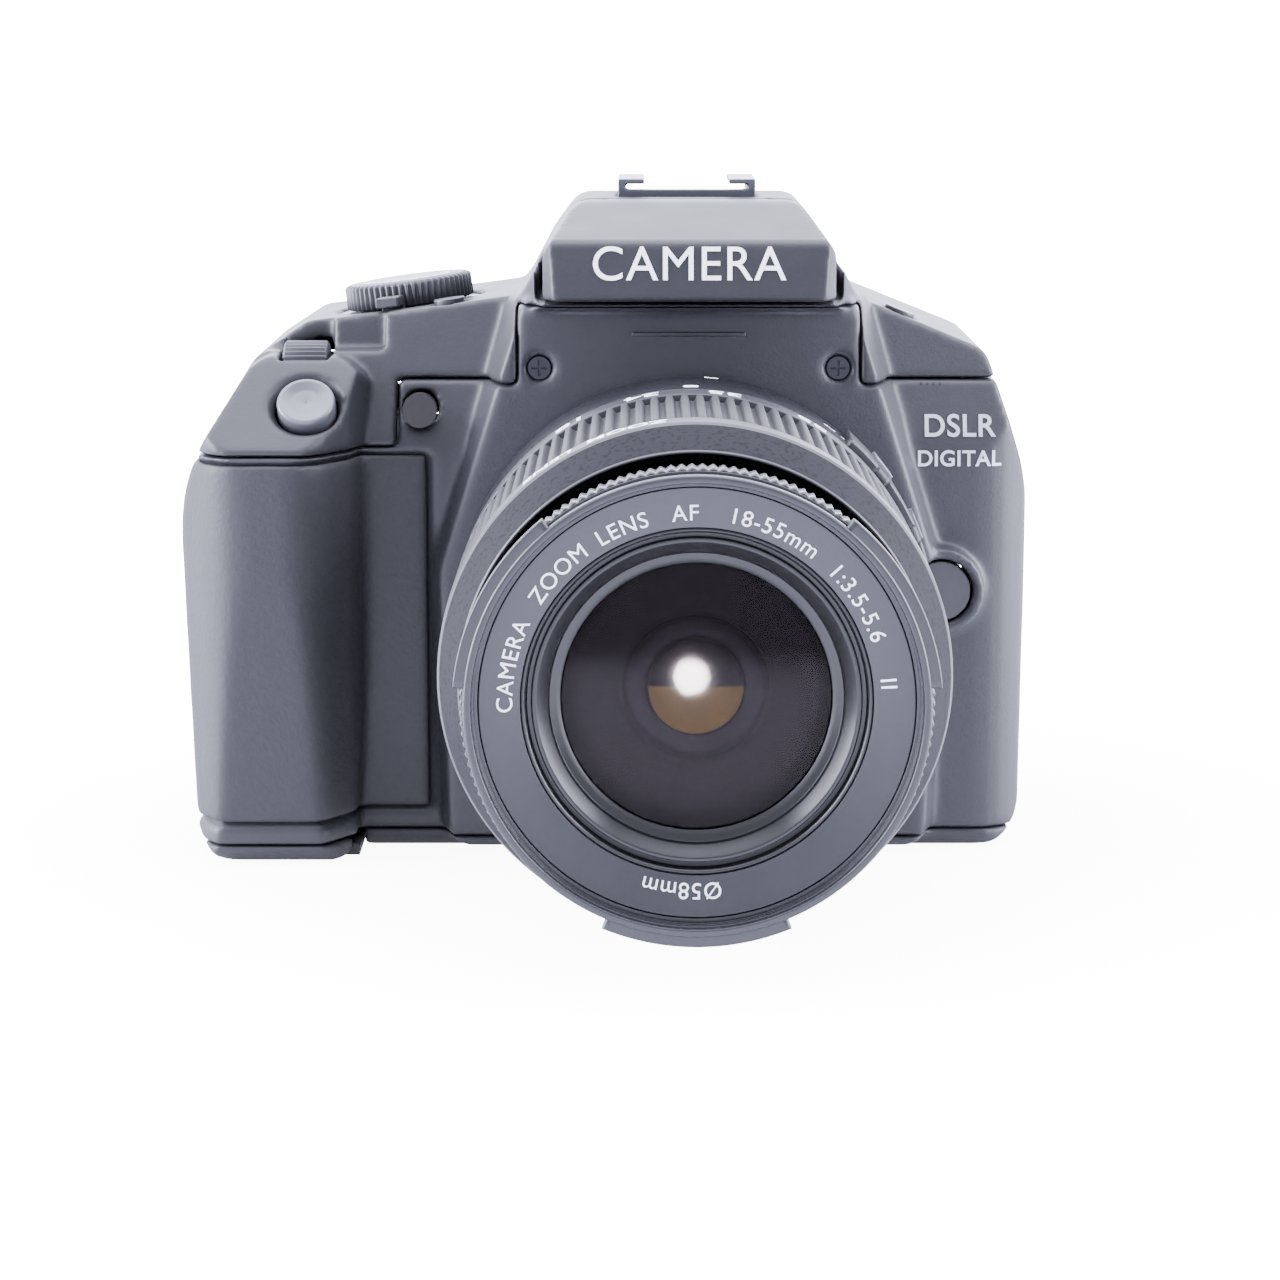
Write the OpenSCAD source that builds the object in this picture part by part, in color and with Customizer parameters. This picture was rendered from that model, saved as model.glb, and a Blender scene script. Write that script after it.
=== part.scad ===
// Single-lens reflex camera with a pop-up flash and a retracting standard zoom.
// Row frame: origin at the mouth of the tripod socket, +Z up, the lens looks along -Y.

/* [Body] */
// Lens axis to the outer side of the grip
grip_reach = 77; // [70:0.5:93]
// Lens axis to the far side of the body
side_reach = 52; // [47:0.5:63]
// Deck height beside the prism hump
deck_height = 84.5; // [82:0.5:90]
// Top of the prism hump
hump_height = 98.6; // [97:0.2:110]
// Origin to the flat front face
front_depth = 29; // [27:0.5:31]
// Origin to the nose of the grip
grip_depth = 43; // [41:0.5:50]
// Origin to the rear face
back_depth = 24; // [24:0.5:29]
// Thickness of the moulded covers
wall = 2.6; // [2.4:0.1:3.2]
// Thickness of the rubber skins
rubber = 1.2; // [0.8:0.1:1.2]
// Height of the base plate
base_height = 3; // [2.6:0.1:4]
// Gap between covers
seam = 0.16; // [0.1:0.02:0.3]

/* [Mount] */
// Height of the lens axis above the base
axis_height = 40; // [39.5:0.5:42]
// Origin to the mount flange
flange_depth = 36; // [35:0.5:37]
// Flange to sensor
register = 44; // [43:0.5:45]
// Radius of the mount throat
throat_radius = 27.2; // [26:0.1:27.6]
// Outer radius of the mount ring
mount_radius = 32.4; // [31.5:0.1:33]
// Radius of the tripod socket
socket_radius = 3.175; // [2.5:0.025:4.8]
// Depth of the tripod socket
socket_depth = 6; // [4:0.5:7]

/* [Lens] */
// Radius over the zoom rubber
zoom_radius = 34.25; // [33.8:0.05:38]
// Flange to the front of the zoom ring
zoom_front = 73; // [70:0.5:76]
// How far the front is pushed out at rest
extension = 13; // [8:0.5:15]
// Length with the front drawn in
lens_length = 75.2; // [74:0.2:78]
// Radius of the filter thread
filter_radius = 28.65; // [27:0.05:29]
// Radius of the front glass
glass_radius = 20.4; // [17:0.1:20.8]
// Radius of the guide tube that the zoom ring turns on
guide_radius = 29.8; // [29.6:0.05:30.2]
// Running clearance of turning and sliding tubes
running = 0.08; // [0.04:0.01:0.1]
// Ribs round the zoom rubber
zoom_ribs = 60; // [40:1:72]

/* [Controls] */
// Radius of the mode dial
mode_radius = 10; // [7:0.5:11]
// Radius of the shutter button
shutter_radius = 4.4; // [3:0.1:5.2]
// Radius of the rear buttons
key_radius = 3; // [2:0.1:3.4]
// Clearance round buttons and dials
play = 0.3; // [0.2:0.05:0.5]
// Width of the rear screen window
screen_width = 74; // [60:1:76]
// Height of the rear screen window
screen_height = 51; // [40:1:53]

/* [Hidden] */
BIG = 300;
gap = 0.15;          // clearance between fixed pieces
$fn = 64;

// ---------- outline helpers ----------
function unit(v) = v / norm(v);
function left(v) = [-v[1], v[0]];
function turned(v, a) = [v[0] * cos(a) - v[1] * sin(a), v[0] * sin(a) + v[1] * cos(a)];
// points of the arc that rounds corner b between a and c, after the outline has shrunk by g
function corner(a, b, c, r, g, n) =
    let(u = unit(b - a), v = unit(c - b),
        bend = atan2(u[0] * v[1] - u[1] * v[0], u * v), side = sign(bend),
        p = b + g * (left(u) + left(v)) / (1 + left(u) * left(v)),
        q = max(r - side * g, 0.15),
        s = p - u * q * tan(abs(bend) / 2), o = s + side * q * left(u))
    abs(bend) < 0.5 ? [p] : [for (k = [0:n]) o + turned(s - o, bend * k / n)];
// outline of [x, y, radius] corners, counter-clockwise, shrunk by g
function outline(p, g = 0, n = 6) =
    let(m = len(p), q = [for (c = p) [c[0], c[1]]])
    [for (i = [0:m - 1]) each corner(q[(i + m - 1) % m], q[i], q[(i + 1) % m], p[i][2], g, n)];

module front_view(p, g = 0) rotate([90, 0, 0]) linear_extrude(BIG, center = true) polygon(outline(p, g));
module plan_view(p, g = 0) linear_extrude(BIG, center = true) polygon(outline(p, g));
module side_view(p, g = 0) rotate([90, 0, 90]) linear_extrude(BIG, center = true) polygon(outline(p, g));
module form(front, plan, side, g) intersection() {
    front_view(front, g);
    plan_view(plan, g);
    side_view(side, g);
}
module box(low, high) translate(low) cube(high - low);
// lens frame: z runs forward from the mount flange, y is up
module on_axis(z = 0) translate([0, -flange_depth - z, axis_height]) rotate([90, 0, 0]) children();
module ring(r_out, r_in, z0, z1) translate([0, 0, z0]) difference() {
    cylinder(r = r_out, h = z1 - z0, $fn = 120);
    translate([0, 0, -1]) cylinder(r = r_in, h = z1 - z0 + 2, $fn = 120);
}
module sector(r, half, z0, z1) translate([0, 0, z0]) linear_extrude(z1 - z0)
    polygon([[0, 0], for (a = [-half:half / 4:half]) r * [sin(a), cos(a)] / cos(half)]);
module peg(r, h) cylinder(r = r, h = h);

// ---------- outer form ----------
grip_top = deck_height - 8.5;
slope_foot = grip_top - 14;        // where the shutter slope starts at the nose
boss_front = flange_depth - 1.5;
flash_front = flange_depth + 8.6;
hump_back = back_depth + 2;
shoulder_x = side_reach - 6.6;

main_front = [[-grip_reach + 2.6, 0, 7], [side_reach - 0.8, 0, 7], [side_reach, 56, 30],
    [shoulder_x, deck_height - 8.3, 4], [25, deck_height, 8], [-25, deck_height, 4],
    [-58.5, deck_height - 4.6, 2], [-66, grip_top - 1, 5], [-grip_reach, 56, 26]];
main_plan = [[-grip_reach, -front_depth, 9], [side_reach, -front_depth, 8],
    [side_reach, back_depth, 5], [-grip_reach + 1, back_depth, 9]];
main_side = [[-front_depth, 0, 3], [back_depth, 0, 2], [back_depth, deck_height - 14, 5],
    [back_depth - 5, deck_height + 2, 2], [-19, deck_height + 2, 4], [-front_depth, 62, 14]];
grip_front = [[-grip_reach + 2.6, 0, 7], [-50.5, 0, 3], [-48, slope_foot, 8],
    [-46, grip_top, 8], [-65, grip_top, 6], [-grip_reach, 56, 26]];
grip_plan = [[-grip_reach, 12, 2], [-grip_reach, -31, 11], [-70, -grip_depth, 8],
    [-56, -grip_depth, 8], [-50.5, -34, 6], [-47, -22, 8], [-44, 12, 2]];
grip_side = [[-grip_depth + 2.2, 0, 4], [16, 0, 2], [16, grip_top - 1, 3],
    [-grip_depth + 14, grip_top, 4], [-grip_depth, slope_foot, 4], [-grip_depth, 44, 40]];
hump_front = [[-36, 60, 1], [36, 60, 1], [36, deck_height - 4.6, 2], [26, deck_height - 1, 9],
    [21.2, hump_height - 6, 10], [17, hump_height, 4], [-17, hump_height, 4],
    [-21.2, hump_height - 6, 10], [-26, deck_height - 1, 9], [-36, deck_height - 4.6, 2]];
hump_plan = [[-20, -flash_front, 1], [20, -flash_front, 1], [27, -24, 12], [33, -8, 12],
    [33, 8, 14], [24, hump_back, 4], [-24, hump_back, 4], [-33, 8, 14], [-33, -8, 12], [-27, -24, 12]];
flash_floor = deck_height + 0.6;
hump_side = [[-boss_front, 60, 1], [hump_back - 4, 60, 1], [hump_back - 4, deck_height - 19, 1],
    [hump_back, deck_height - 18, 1.5], [hump_back, hump_height - 4.5, 4],
    [14, hump_height, 6], [-20, hump_height, 20], [-flash_front + 2, hump_height - 4.8, 1.4],
    [-flash_front, flash_floor, 0.8], [-boss_front, deck_height - 1.4, 1.5]];
boss_outline = [[-36, 1.5, 3], [36, 1.5, 3], [37.5, axis_height + 4, 10], [32, 58, 20],
    [24.5, flash_floor - 0.4, 1], [-24.5, flash_floor - 0.4, 1], [-32, 58, 20],
    [-37.5, axis_height + 4, 10]];
boss_skirt = [for (p = boss_outline) [p[0] * 1.11, p[1], p[2]]];

module boss(g) hull() {
    translate([0, -boss_front + g, 0]) rotate([90, 0, 0]) linear_extrude(0.01)
        polygon(outline(boss_outline, g, 3));
    translate([0, -front_depth + 8, 0]) rotate([90, 0, 0]) linear_extrude(0.01)
        polygon(outline(boss_skirt, g, 3));
}
module hump(g) form(hump_front, hump_plan, hump_side, g);
// the deck on the grip side starts behind the main dial
module step(g) intersection() {
    side_view([[-BIG, grip_top - g, 0], [-18 + g, grip_top - g, 0], [-13.5 + g, deck_height + 9, 0],
        [-BIG, deck_height + 9, 0]]);
    box([-BIG, -BIG, 0], [-46 + g, BIG, BIG]);
}
module body_form(g) {
    difference() {
        form(main_front, main_plan, main_side, g);
        step(g);
    }
    form(grip_front, grip_plan, grip_side, g);
    hump(g);
}
module shell() difference() {
    union() {
        body_form(0);
        boss(0);
    }
    body_form(wall);
    boss(wall);
}

// ---------- zones that split the shell ----------
top_seam = 72;
cover_split = 12;
module top_zone(g) difference() {
    union() {
        box([-BIG, -BIG, top_seam + g], [BIG, BIG, BIG]);
        box([-BIG, -BIG, slope_foot + g], [-44 - g, cover_split - g, BIG]);
    }
    box([-25.6 - g, -BIG, 0], [25.6 + g, -front_depth + 2.5 + g, flash_floor - 1.2 + g]);
}
rubber_low = 6;
rubber_high = slope_foot - 0.6;
module skin_zone(g) box([-BIG, -BIG, rubber_low + g], [-39 - g, 9 - g, rubber_high - g]);
thumb_plan = [[-grip_reach - 5, 42, 4], [-59, 42, 5], [-57, 58, 5], [-60, 66, 4], [-grip_reach - 5, 68, 4]];
module thumb_zone(g) intersection() {
    front_view(thumb_plan, g);
    box([-BIG, 14 + g, 0], [BIG, BIG, BIG]);
}
module skin_layer(low, high) difference() {
    body_form(low);
    body_form(high);
}

// ---------- places of controls ----------
mode_place = [-43, -3, deck_height - 4.7];
mode_tilt = -7.5;
shutter_place = [-57, -grip_depth + 7.2, slope_foot + 7.2];
dial_place = [-58, -22, grip_top - 5.4];
dial_radius = 7;
dial_width = 7;
speed_place = [-36.5, -16.5, deck_height - 1.7];
flash_key_place = [32.5, -17, deck_height - 3.1];
flash_key_tilt = 22;
release_radius = 4.6;
release_place = [mount_radius + release_radius + 1.2, -front_depth, axis_height + 0.5];
lamp_place = [-40.5, -front_depth, 67.6];
socket_boss = 6.5;
door_low = [-grip_reach + 5.5, -34];
door_high = [-grip_reach + 27, 8];
door_hinge = [door_high[1] + 1.8, 1.5];
door_barrel = 1.3;
screen_mid = [9, base_height + 5.5 + screen_height / 2];
pad_mid = [-48, 31];
eye_mid = deck_height - 0.5;
hinge_radius = 2.3;
flash_hinge = [-13.5, hump_height - hinge_radius];
knuckle = [13, 3];         // start and width of the ears that carry the flash pins
shoe_mid = 2;
terminal_low = [-16, 20];
terminal_high = [8, 54];
terminal_hinge = [side_reach - 1.7, terminal_low[0] + 1.5];
key_front = back_depth - wall - 1.2;
module on_mode() translate(mode_place) rotate([0, mode_tilt, 0]) children();
module on_shutter() translate(shutter_place) rotate([45, 0, 0]) children();
module on_speed() translate(speed_place) rotate([0, mode_tilt, 0]) children();
module on_flash_key() translate(flash_key_place) rotate([0, flash_key_tilt, 0]) children();
module on_back(x, z) translate([x, back_depth, z]) rotate([-90, 0, 0]) children();
keys = [["live", -31.5, 66], ["exposure", -36.5, 52], ["quick", -48, 52],
    ["play", -37.5, 11.5], ["erase", -48, 9.5], ["menu", -58.5, 11.5]];
rocker_mid = [-46, 64];
rocker_size = [13, 5];

// ---------- covers ----------
module screen_window(g, depth) translate([screen_mid[0], back_depth - depth, screen_mid[1]])
    rotate([-90, 0, 0]) linear_extrude(BIG)
    polygon(outline([[-screen_width / 2, -screen_height / 2, 3], [screen_width / 2, -screen_height / 2, 3],
        [screen_width / 2, screen_height / 2, 3], [-screen_width / 2, screen_height / 2, 3]], g));
module key_holes(r) {
    for (k = keys) on_back(k[1], k[2]) translate([0, 0, -8]) peg(r, 12);
    on_back(pad_mid[0], pad_mid[1]) translate([0, 0, -8]) peg(11 + play, 12);
    on_back(rocker_mid[0], rocker_mid[1]) rocker_block(play, 16);
}
module rocker_block(g, h) translate([0, 0, -h / 2]) linear_extrude(h)
    polygon(outline([[-rocker_size[0] / 2, -rocker_size[1] / 2, 2.2], [rocker_size[0] / 2, -rocker_size[1] / 2, 2.2],
        [rocker_size[0] / 2, rocker_size[1] / 2, 2.2], [-rocker_size[0] / 2, rocker_size[1] / 2, 2.2]], -g));
module terminal_zone(g) box([side_reach - 9, terminal_hinge[1], terminal_low[1] + g],
    [BIG, terminal_high[0] - g, terminal_high[1] - g]);
module terminal_barrel(g) translate([terminal_hinge[0], terminal_hinge[1], terminal_low[1] - g])
    peg(1.1 + g, terminal_high[1] - terminal_low[1] + 2 * g);

module front_cover() color("#2b2c2f") difference() {
    union() {
        difference() {
            shell();
            skin_zone(0);
        }
        intersection() {
            skin_layer(rubber + 0.1, wall);
            skin_zone(-1);
        }
        translate(release_place + [0, 1, 0]) rotate([90, 0, 0]) peg(release_radius + 2, 5);
    }
    top_zone(-seam / 2);
    box([-BIG, cover_split - seam / 2, -BIG], [BIG, BIG, BIG]);
    box([-BIG, -BIG, -BIG], [BIG, BIG, base_height + seam / 2]);
    on_axis(-40) cylinder(r = mount_radius + gap, h = 50, $fn = 120);
    translate(release_place + [0, 20, 0]) rotate([90, 0, 0]) peg(release_radius + play, 40);
    translate(lamp_place + [0, 10, 0]) rotate([90, 0, 0]) peg(2.6 + gap, 30);
    difference() {
        terminal_zone(0);
        body_form(rubber + 0.9);
    }
    terminal_barrel(play);
    translate([terminal_hinge[0], terminal_hinge[1] - 1.4, terminal_low[1]])
        cube([9, 1.5, terminal_high[1] - terminal_low[1]]);
    terminal_ports();
    for (x = [-22.3, 22.3])
        translate([x, -boss_front + 1.6, deck_height - 10]) rotate([90, 0, 0]) peg(2.1, 5);
}
ports = [["remote", 27, 2, 2], ["usb", 35, 3.9, 2], ["video", 45, 5.4, 1.6]];
module terminal_ports() for (p = ports)
    box([side_reach - 9, -3 - p[2], p[1] - p[3]], [BIG, -3 + p[2], p[1] + p[3]]);

module rear_cover() color("#2b2c2f") difference() {
    union() {
        difference() {
            shell();
            thumb_zone(0);
        }
        intersection() {
            skin_layer(rubber + 0.1, wall);
            thumb_zone(-1);
        }
    }
    top_zone(-seam / 2);
    box([-BIG, -BIG, -BIG], [BIG, cover_split + seam / 2, BIG]);
    box([-BIG, -BIG, -BIG], [BIG, BIG, base_height + seam / 2]);
    screen_window(-0.2, 8);
    key_holes(key_radius + play);
}

module top_cover() color("#2b2c2f") difference() {
    intersection() {
        union() {
            shell();
            difference() {       // tray that the flash head folds into
                hump(1);
                box([-BIG, -14.6, 0], [BIG, BIG, BIG]);
                box([-BIG, -BIG, 0], [BIG, BIG, flash_floor - 2.2]);
                box([-BIG, -BIG, flash_floor - 0.6], [BIG, BIG, BIG]);
            }
            intersection() {     // wall behind the flash head
                hump(1);
                box([-BIG, -11.2, flash_floor - 2.2], [BIG, -9.8, BIG]);
            }
            intersection() {     // bearing plate under the mode dial
                on_mode() translate([0, 0, -2.4]) peg(mode_radius + 3.4, 2.6);
                body_form(1);
            }
            flash_ears(0);
        }
        top_zone(seam / 2);
    }
    // room for the flash head
    difference() {
        box([-22.6, -BIG, flash_floor - 0.6], [22.6, flash_hinge[0], BIG]);
        flash_ears(0);
    }
    translate([0, flash_hinge[0], flash_hinge[1]]) for (s = [-1, 1])
        translate([s * (knuckle[0] + knuckle[1] / 2) - 3, 0, 0]) rotate([0, 90, 0]) peg(1.1 + running, 6);
    difference() {
        translate([-BIG, flash_hinge[0], flash_hinge[1]]) rotate([0, 90, 0]) peg(hinge_radius + 0.6, 2 * BIG);
        flash_ears(0);
    }
    on_mode() {
        peg(mode_radius + 1.6, 30);
        translate([0, 0, -30]) peg(2.6 + play, 40);
    }
    on_shutter() translate([0, 0, -20]) peg(shutter_radius + play, 40);
    on_shutter() translate([0, 0, -1.5]) cylinder(r1 = shutter_radius + play, r2 = shutter_radius + 2.6, h = 3);
    dial_slot(play);
    on_speed() translate([0, 0, -8]) peg(2.4 + play, 16);
    on_flash_key() translate([0, 0, -8]) peg(2.4 + play, 16);
    translate([0, hump_back + 4, eye_mid]) rotate([90, 0, 0]) linear_extrude(12)
        polygon(outline([[-11, -7.5, 2], [11, -7.5, 2], [11, 7.5, 2], [-11, 7.5, 2]], -gap));
    translate([-21.4, hump_back - 6, eye_mid - 4]) rotate([-90, 0, 0]) peg(1.6, 20);
    box([-10.7 - gap, shoe_mid - 9 - gap, hump_height - 1], [10.7 + gap, shoe_mid + 9.8 + gap, BIG]);
    on_back(rocker_mid[0], rocker_mid[1]) rocker_block(play, 16);
}
module dial_slot(g) box(dial_place + [-dial_width / 2 - g, -dial_radius - g, -dial_radius - g],
    dial_place + [dial_width / 2 + g, dial_radius + g, 20]);
module flash_ears(g) for (s = [-1, 1])
    translate([s * (knuckle[0] + knuckle[1] / 2) - knuckle[1] / 2 - g, 0, 0]) {
    translate([0, flash_hinge[0], flash_hinge[1]]) rotate([0, 90, 0]) peg(2.1 + g, knuckle[1] + 2 * g);
    translate([0, flash_hinge[0], flash_hinge[1] - 2.1 - g]) cube([knuckle[1] + 2 * g, 3.4, 2.8 + 2 * g]);
}

module bottom_cover() color("#242528") difference() {
    intersection() {
        union() {
            body_form(0);
            boss(0);
        }
        box([-BIG, -BIG, -1], [BIG, BIG, base_height - seam / 2]);
    }
    intersection() {
        body_form(wall);
        box([-BIG, -BIG, base_height - 1], [BIG, BIG, BIG]);
    }
    on_axis(-40) cylinder(r = mount_radius + gap, h = 50, $fn = 120);
    translate([0, 0, -1]) peg(socket_boss + gap, 20);
    box([door_low[0] - play, door_low[1] - play, -1], [door_high[0] + play, door_hinge[0], 9]);
    translate([door_low[0] - play, door_hinge[0], door_hinge[1]]) rotate([0, 90, 0])
        peg(door_barrel + 1.1, door_high[0] - door_low[0] + 2 * play);
    translate([door_low[0] - 1.6, door_hinge[0], door_hinge[1]]) rotate([0, 90, 0])
        peg(0.8 + running, door_high[0] - door_low[0] + 3.2);
    for (p = base_screws) translate([p[0], p[1], -1]) peg(1.9, 2.1);
}
base_screws = [[-40, -18], [-40, 17], [30, 17], [side_reach - 8, -16], [16, -20]];

module grip_rubber() color("#1d1d1f") {
    intersection() {
        skin_layer(0, rubber);
        skin_zone(gap);
        box([-BIG, -BIG, 0], [BIG, BIG, BIG]);
    }
    intersection() {
        skin_layer(0, rubber);
        thumb_zone(gap);
        difference() {
            box([-BIG, cover_split, 0], [BIG, BIG, top_seam - seam]);
            on_back(rocker_mid[0], rocker_mid[1]) rocker_block(play, 16);
        }
    }
}

// ---------- frame and electronics ----------
box_half = 16;             // inner half width of the mirror box
box_low = axis_height - 15;
box_high = axis_height + 13.2;
box_front = -flange_depth + 5.4;
box_back = register - flange_depth - 5.2;
pivot = [box_back - 3.4, box_high - 1.6];

module chassis() color("#8d9095") difference() {
    union() {
        box([-box_half - 1.6, box_front, box_low - 1.6], [box_half + 1.6, box_back, screen_z - gap]);
        on_axis(-5.6) cylinder(r = mount_radius - 0.6, h = 2.4, $fn = 120);
        on_axis(-7) cylinder(r = mount_radius - 1.2, h = 1.6, $fn = 120);
        box([-45, -24, base_height + 0.3], [40, 10.6, base_height + 1.6]);          // floor plate
        box([-45, -24, base_height + 0.3], [-43.4, 6, 66]);                          // grip-side plate
        box([-45, -24, base_height + 0.3], [-24, -22.6, 12]);
        for (x = [-36, 28]) box([x, box_back - 2, base_height + 0.3], [x + 6, box_back, 60]);
        box([-45, box_back - 2, 58], [34, box_back, 60]);
        for (s = [-1, 1])
            box([s > 0 ? box_half + 1 : -24, -24, base_height + 0.3],
                [s > 0 ? 24 : -box_half - 1, -22.6, box_low]);
    }
    box([-box_half, box_front - 1, box_low], [box_half, box_back + 1, screen_z - 1.4]);
    box([-screen_half + 1, screen_front + 1, 0], [screen_half - 1, screen_rear - 1, BIG]);
    on_axis(-5.4) cylinder(r = throat_radius + 0.2, h = 9, $fn = 120);
    translate([-box_half - 3, pivot[0], pivot[1]]) rotate([0, 90, 0]) peg(0.9 + running, 2 * box_half + 6);
    peg(socket_boss + gap, 20);
    box([-12, -16, box_low - 5], [12, -2, box_low + 1]);                              // window over the focus sensor
}

battery_low = [-grip_reach + 7.4, -31];
battery_high = [-grip_reach + 21.9, 5.2];
battery_top = 52;
card_x = battery_high[0] + 2.4;
module battery_box() color("#3a3b3e") difference() {
    union() {
        box([battery_low[0] - 1.5, battery_low[1] - 1.5, base_height + 1.3],
            [battery_high[0] + 1.5, battery_high[1] + 1.5, battery_top + 2]);
        box([battery_high[0], -21.4, base_height + 1.3], [card_x + 3.4, battery_high[1] + 1.5, base_height + 37]);
    }
    box([battery_low[0] - gap, battery_low[1] - gap, 0],
        [battery_high[0] + gap, battery_high[1] + gap, battery_top + gap]);
    box([card_x - gap, -20, 0], [card_x + 2.1 + gap, 4.2, 38]);
}
module battery() color("#26272a") {
    box([battery_low[0], battery_low[1], base_height + 0.3], [battery_high[0], battery_high[1], battery_top]);
}
module memory_card() color("#2f5d8c") difference() {
    box([card_x, -19.8, base_height + 0.5], [card_x + 2.1, 4, base_height + 32.5]);
    translate([card_x - 1, 4, base_height + 32.5]) rotate([45, 0, 0]) cube([5, 5, 5], center = true);
}
module tripod_socket() color("#b9bbbe") difference() {
    union() {
        peg(socket_boss, base_height + 0.2);
        translate([0, 0, base_height]) peg(socket_boss - 1, socket_depth + 2 - base_height);
    }
    translate([0, 0, -1]) peg(socket_radius, socket_depth + 1);
}
// the floor plate of the frame carries the socket
module sensor_plate(x, z, y0, y1) box([-x / 2, y0, axis_height - z / 2], [x / 2, y1, axis_height + z / 2]);
sensor_y = register - flange_depth;
module image_sensor() color("#3f6f4a") {
    sensor_plate(25, 18, sensor_y - 0.7, sensor_y + 0.4);
    sensor_plate(31, 25, sensor_y + 0.45, sensor_y + 2.4);
    sensor_plate(46, 36, sensor_y + 2.45, sensor_y + 3.6);
}
shutter_y = box_back + gap;
gate = [24, 17];
travel = gate[1] + 1.4;
module shutter_frame() color("#202124") difference() {
    box([-21, shutter_y, axis_height - 30], [21, shutter_y + 3.6, axis_height + 28.4]);
    box([-15, shutter_y + 0.5, axis_height - 29], [15, shutter_y + 3.1, axis_height + 27.8]);
    sensor_gate();
}
module sensor_gate()
    box([-gate[0] / 2, shutter_y - 5, axis_height - gate[1] / 2],
        [gate[0] / 2, shutter_y + 9, axis_height + gate[1] / 2]);
module shutter_curtain() color("#1a1b1d") box([-14.7, shutter_y + 1, axis_height - travel / 2 + 0.1],
    [14.7, shutter_y + 2.6, axis_height + travel / 2 - 0.1]);
board_y = sensor_y + 5;
module main_board() color("#1f5a3c") {
    difference() {
        box([-30, board_y, 9], [side_reach - 9, board_y + 1.4, 64]);
        on_axis() translate([0, 0, -60]) peg(4, 10);
    }
    for (p = [[-20, 20], [4, 52], [24, 24]]) box([p[0], board_y - 1.1, p[1] - 6], [p[0] + 13, board_y - 0.05, p[1] + 7]);
    for (p = ports) difference() {
        box([side_reach - 13, -3 - p[2] + gap, p[1] - p[3] + gap],
            [side_reach - 2.8, -3 + p[2] - gap, p[1] + p[3] - gap]);
        box([side_reach - 11, -3 - p[2] + 0.8, p[1] - p[3] + 0.7],
            [side_reach, -3 + p[2] - 0.8, p[1] + p[3] - 0.7]);
    }
    box([side_reach - 16, -9, 27], [side_reach - 13.05, 4, 56]);
    box([side_reach - 16, 4, 27], [side_reach - 13.05, board_y - 0.05, 33]);
}
module lcd_panel() color("#15181c") box([screen_mid[0] - 33, board_y + 1.9, screen_mid[1] - 22.5],
    [screen_mid[0] + 33, back_depth - 1.7, screen_mid[1] + 22.5]);
module lcd_window() color("#0c0d10") intersection() {
    screen_window(gap, 1.6);
    box([-BIG, -BIG, 0], [BIG, back_depth - 0.1, BIG]);
}

// ---------- viewfinder ----------
screen_z = axis_height + 17;
screen_half = 13.5;
screen_front = -25;
screen_rear = -2.5;
module eyepiece(y, h) translate([0, y, eye_mid]) rotate([-90, 0, 0]) linear_extrude(h)
    polygon(outline([[-11, -7.5, 2], [11, -7.5, 2], [11, 7.5, 2], [-11, 7.5, 2]], 0.1));
module viewfinder_lenses() color("#c9d3da") {
    box([-screen_half, screen_front, screen_z], [screen_half, screen_rear, screen_z + 1.6]);
    eyepiece(13.2, 3);
    eyepiece(16.4, 3.2);
    eyepiece(19.8, hump_back - 20.4);
}
prism_top = flash_floor - 3.2;
prism = [[-27, screen_z + 1.8, 0.5], [-0.6, screen_z + 1.8, 0.5], [0.6, axis_height + 29, 0.5], [13, axis_height + 31.5, 0.5],
    [13, hump_height - 8.4, 1], [-6, hump_height - 5.2, 1], [-8.6, prism_top, 1], [-27, prism_top, 1]];
module pentamirror() color("#24262a") intersection() {
    difference() {
        side_view(prism);
        side_view(prism, 1.4);
        box([1 - screen_half, screen_front + 1, screen_z], [screen_half - 1, screen_rear - 1, screen_z + 6]);
        box([-10.5, 8, eye_mid - 6.5], [10.5, 20, eye_mid + 5.4]);
    }
    box([-17, -BIG, 0], [17, BIG, BIG]);
}
eye_outline = [[-16.5, -10, 5], [16.5, -10, 5], [16.5, 11, 7], [-16.5, 11, 7]];
module eyecup() color("#1b1b1d")
    translate([0, hump_back + 0.3, eye_mid]) rotate([-90, 0, 0]) mirror([0, 1, 0]) difference() {
    union() {
        linear_extrude(3) polygon(outline(eye_outline));
        translate([0, 0, 2.9]) linear_extrude(3.8) polygon(outline(eye_outline, 0.8));
    }
    translate([0, 0, -1]) linear_extrude(20)
        polygon(outline([[-11, -7.5, 3], [11, -7.5, 3], [11, 7.5, 3], [-11, 7.5, 3]]));
    translate([0, 0, 3]) linear_extrude(20) polygon(outline(eye_outline, 3.4));
}
module diopter_dial() color("#232326") translate([-21.4, hump_back + 0.3, eye_mid - 4]) rotate([-90, 0, 0]) {
    linear_extrude(2.6) polygon([for (i = [0:47]) (i % 2 ? 3.7 : 3.4) * [cos(i * 7.5), sin(i * 7.5)]]);
    translate([0, 0, -3.4]) peg(1.5, 3.5);
}

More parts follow.
